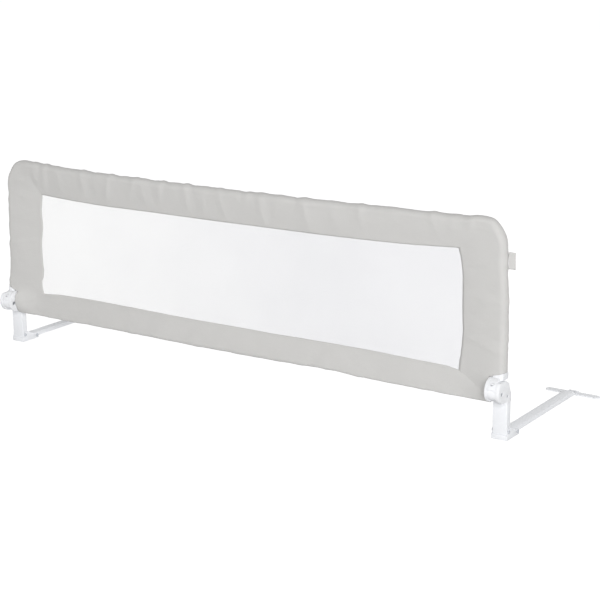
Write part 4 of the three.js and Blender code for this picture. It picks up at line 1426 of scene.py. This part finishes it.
@dataclass
class Studio:
    """The camera, the lamps and the pale floor."""

    camera_place: tuple[float, float, float] = (2.219412, -3.110574, 1.188361)
    azimuth: float = 34.4975
    elevation: float = 14.8030
    roll: float = -0.7039
    focal_pixels: float = 1549.396
    image_pixels: float = 600.0
    sensor: float = 36.0  # in millimetres
    farthest: float = 100.0
    lamps: tuple[Softbox, ...] = (
        Softbox("key_softbox", (5.1, -6.3, 3.1), 4.0, 462.0),
        Softbox("fill_softbox", (-4.6, -7.4, 2.6), 4.0, 60.0),
        Softbox("back_softbox", (1.1, 3.4, 0.65), 1.2, 34.0),
    )
    lamp_aim: tuple[float, float, float] = (0.0, PANEL_Y, 0.25)
    sky: float = 0.41  # strength of the light from all round
    floor_drop: float = 0.29  # the soles stand on a bed base, and the panel folds down past it
    floor_half: float = 40.0
    floor_color: int = 0xE6E6E6
    floor_glow: float = 1.5
    glow_share: float = 0.6  # the rest of the floor's look is its matte side, with the shadow

    def camera(self) -> None:
        """Places the camera from its direction and roll."""
        a, e, r = (math.radians(turn) for turn in (self.azimuth, self.elevation, self.roll))
        forward = Vector((-math.sin(a) * math.cos(e), math.cos(a) * math.cos(e), -math.sin(e)))
        right = Vector((math.cos(a), math.sin(a), 0.0))
        up = right.cross(forward)
        turned_right = math.cos(r) * right + math.sin(r) * up
        turned_up = -math.sin(r) * right + math.cos(r) * up
        data = bpy.data.cameras.new("studio_camera")
        data.sensor_fit = "HORIZONTAL"
        data.sensor_width = self.sensor
        data.lens = self.focal_pixels / self.image_pixels * self.sensor
        data.clip_end = self.farthest
        camera = bpy.data.objects.new("studio_camera", data)
        frame = Matrix((turned_right, turned_up, -forward)).transposed().to_4x4()
        camera.matrix_world = Matrix.Translation(Vector(self.camera_place)) @ frame
        bpy.context.scene.collection.objects.link(camera)
        bpy.context.scene.camera = camera

    def light(self, softbox: Softbox) -> None:
        """Adds a lamp that faces the rail.

        Args:
            softbox: The lamp's name, place, size and power.
        """
        data = bpy.data.lights.new(softbox.name, "AREA")
        data.size = softbox.size
        data.energy = softbox.power
        lamp = bpy.data.objects.new(softbox.name, data)
        lamp.location = Vector(softbox.place)
        aim = Vector(self.lamp_aim) - lamp.location
        lamp.rotation_euler = aim.to_track_quat("-Z", "Y").to_euler()
        bpy.context.scene.collection.objects.link(lamp)

    def world(self) -> None:
        """Lights the rail evenly from all round, and shows white behind it."""
        world = bpy.data.worlds.new("studio_world")
        bpy.context.scene.world = world
        world.use_nodes = True
        tree = world.node_tree
        tree.nodes.clear()
        rays = add_node(tree, "LightPath").outputs
        direct = {0: rays["Is Camera Ray"], 1: rays["Is Glossy Ray"]}
        seen = add_node(tree, "Math", direct, operation="MAXIMUM").outputs[0]
        through = {0: seen, 1: rays["Is Transmission Ray"]}
        seen = add_node(tree, "Math", through, operation="MAXIMUM").outputs[0]
        light = add_node(tree, "Background", {"Color": WHITE, "Strength": self.sky}).outputs[0]
        white = add_node(tree, "Background", {"Color": WHITE, "Strength": 1.0}).outputs[0]
        mix = add_node(tree, "MixShader", {0: seen, 1: light, 2: white})
        add_node(tree, "OutputWorld", {"Surface": mix.outputs[0]})

    def floor(self) -> None:
        """Lays a pale floor that shows white to the camera and keeps the rail's shadow."""
        material, tree = new_material("white_studio_floor")
        seen = add_node(tree, "LightPath").outputs["Is Camera Ray"]
        matte = add_node(tree, "BsdfDiffuse", {"Color": linear(self.floor_color)}).outputs[0]
        share = add_node(tree, "Math", {0: seen, 1: self.glow_share}, operation="MULTIPLY")
        glow = add_node(tree, "Emission", {"Color": WHITE, "Strength": self.floor_glow})
        both = add_node(tree, "MixShader", {0: share.outputs[0], 1: matte, 2: glow.outputs[0]})
        add_node(tree, "OutputMaterial", {"Surface": both.outputs[0]})
        shape = bmesh.new()
        bmesh.ops.create_grid(shape, x_segments=4, y_segments=4, size=self.floor_half)
        mesh = bpy.data.meshes.new("studio_floor")
        shape.to_mesh(mesh)
        shape.free()
        mesh.materials.append(material)
        floor = bpy.data.objects.new("studio_floor", mesh)
        floor.location.z = -self.floor_drop
        bpy.context.scene.collection.objects.link(floor)

    def build(self) -> None:
        """Sets up the whole studio."""
        bpy.context.scene.view_settings.view_transform = "Standard"
        self.camera()
        self.world()
        self.floor()
        for softbox in self.lamps:
            self.light(softbox)


def dress_nodes(palette: Palette, frame: dict) -> None:
    """Gives each CAD node its slot's material, for those that still show.

    Args:
        palette: The materials.
        frame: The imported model.
    """
    by_slot = {
        Slot.STEEL.value: palette.steel,
        Slot.PLASTIC.value: palette.plastic,
        Slot.ZINC.value: palette.zinc,
        Slot.CLOTH.value: palette.cloth,
        Slot.NET.value: palette.net,
    }
    slots = {part["node"]: part["material_slot"] for part in frame["record"]["subparts"]}
    for name, node in frame["nodes"].items():
        node.data.materials.clear()
        node.data.materials.append(by_slot[slots[name]])


def main() -> None:
    """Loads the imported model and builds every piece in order."""
    logging.basicConfig(level=logging.INFO, format="%(asctime)s %(name)s: %(message)s")
    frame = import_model()
    Studio().build()
    palette = Palette()
    dress_nodes(palette, frame)
    for side in Side:
        SteelSupport(side, palette, frame["nodes"]).build()
        MouldedHinge(side, palette, frame["nodes"]).build()
    cover = ClothCover(palette)
    cover.build()
    Netting(palette).build()
    LabelTab(palette).build()
    Topstitching(palette, cover.surface).build()


if __name__ == "__main__":
    main()
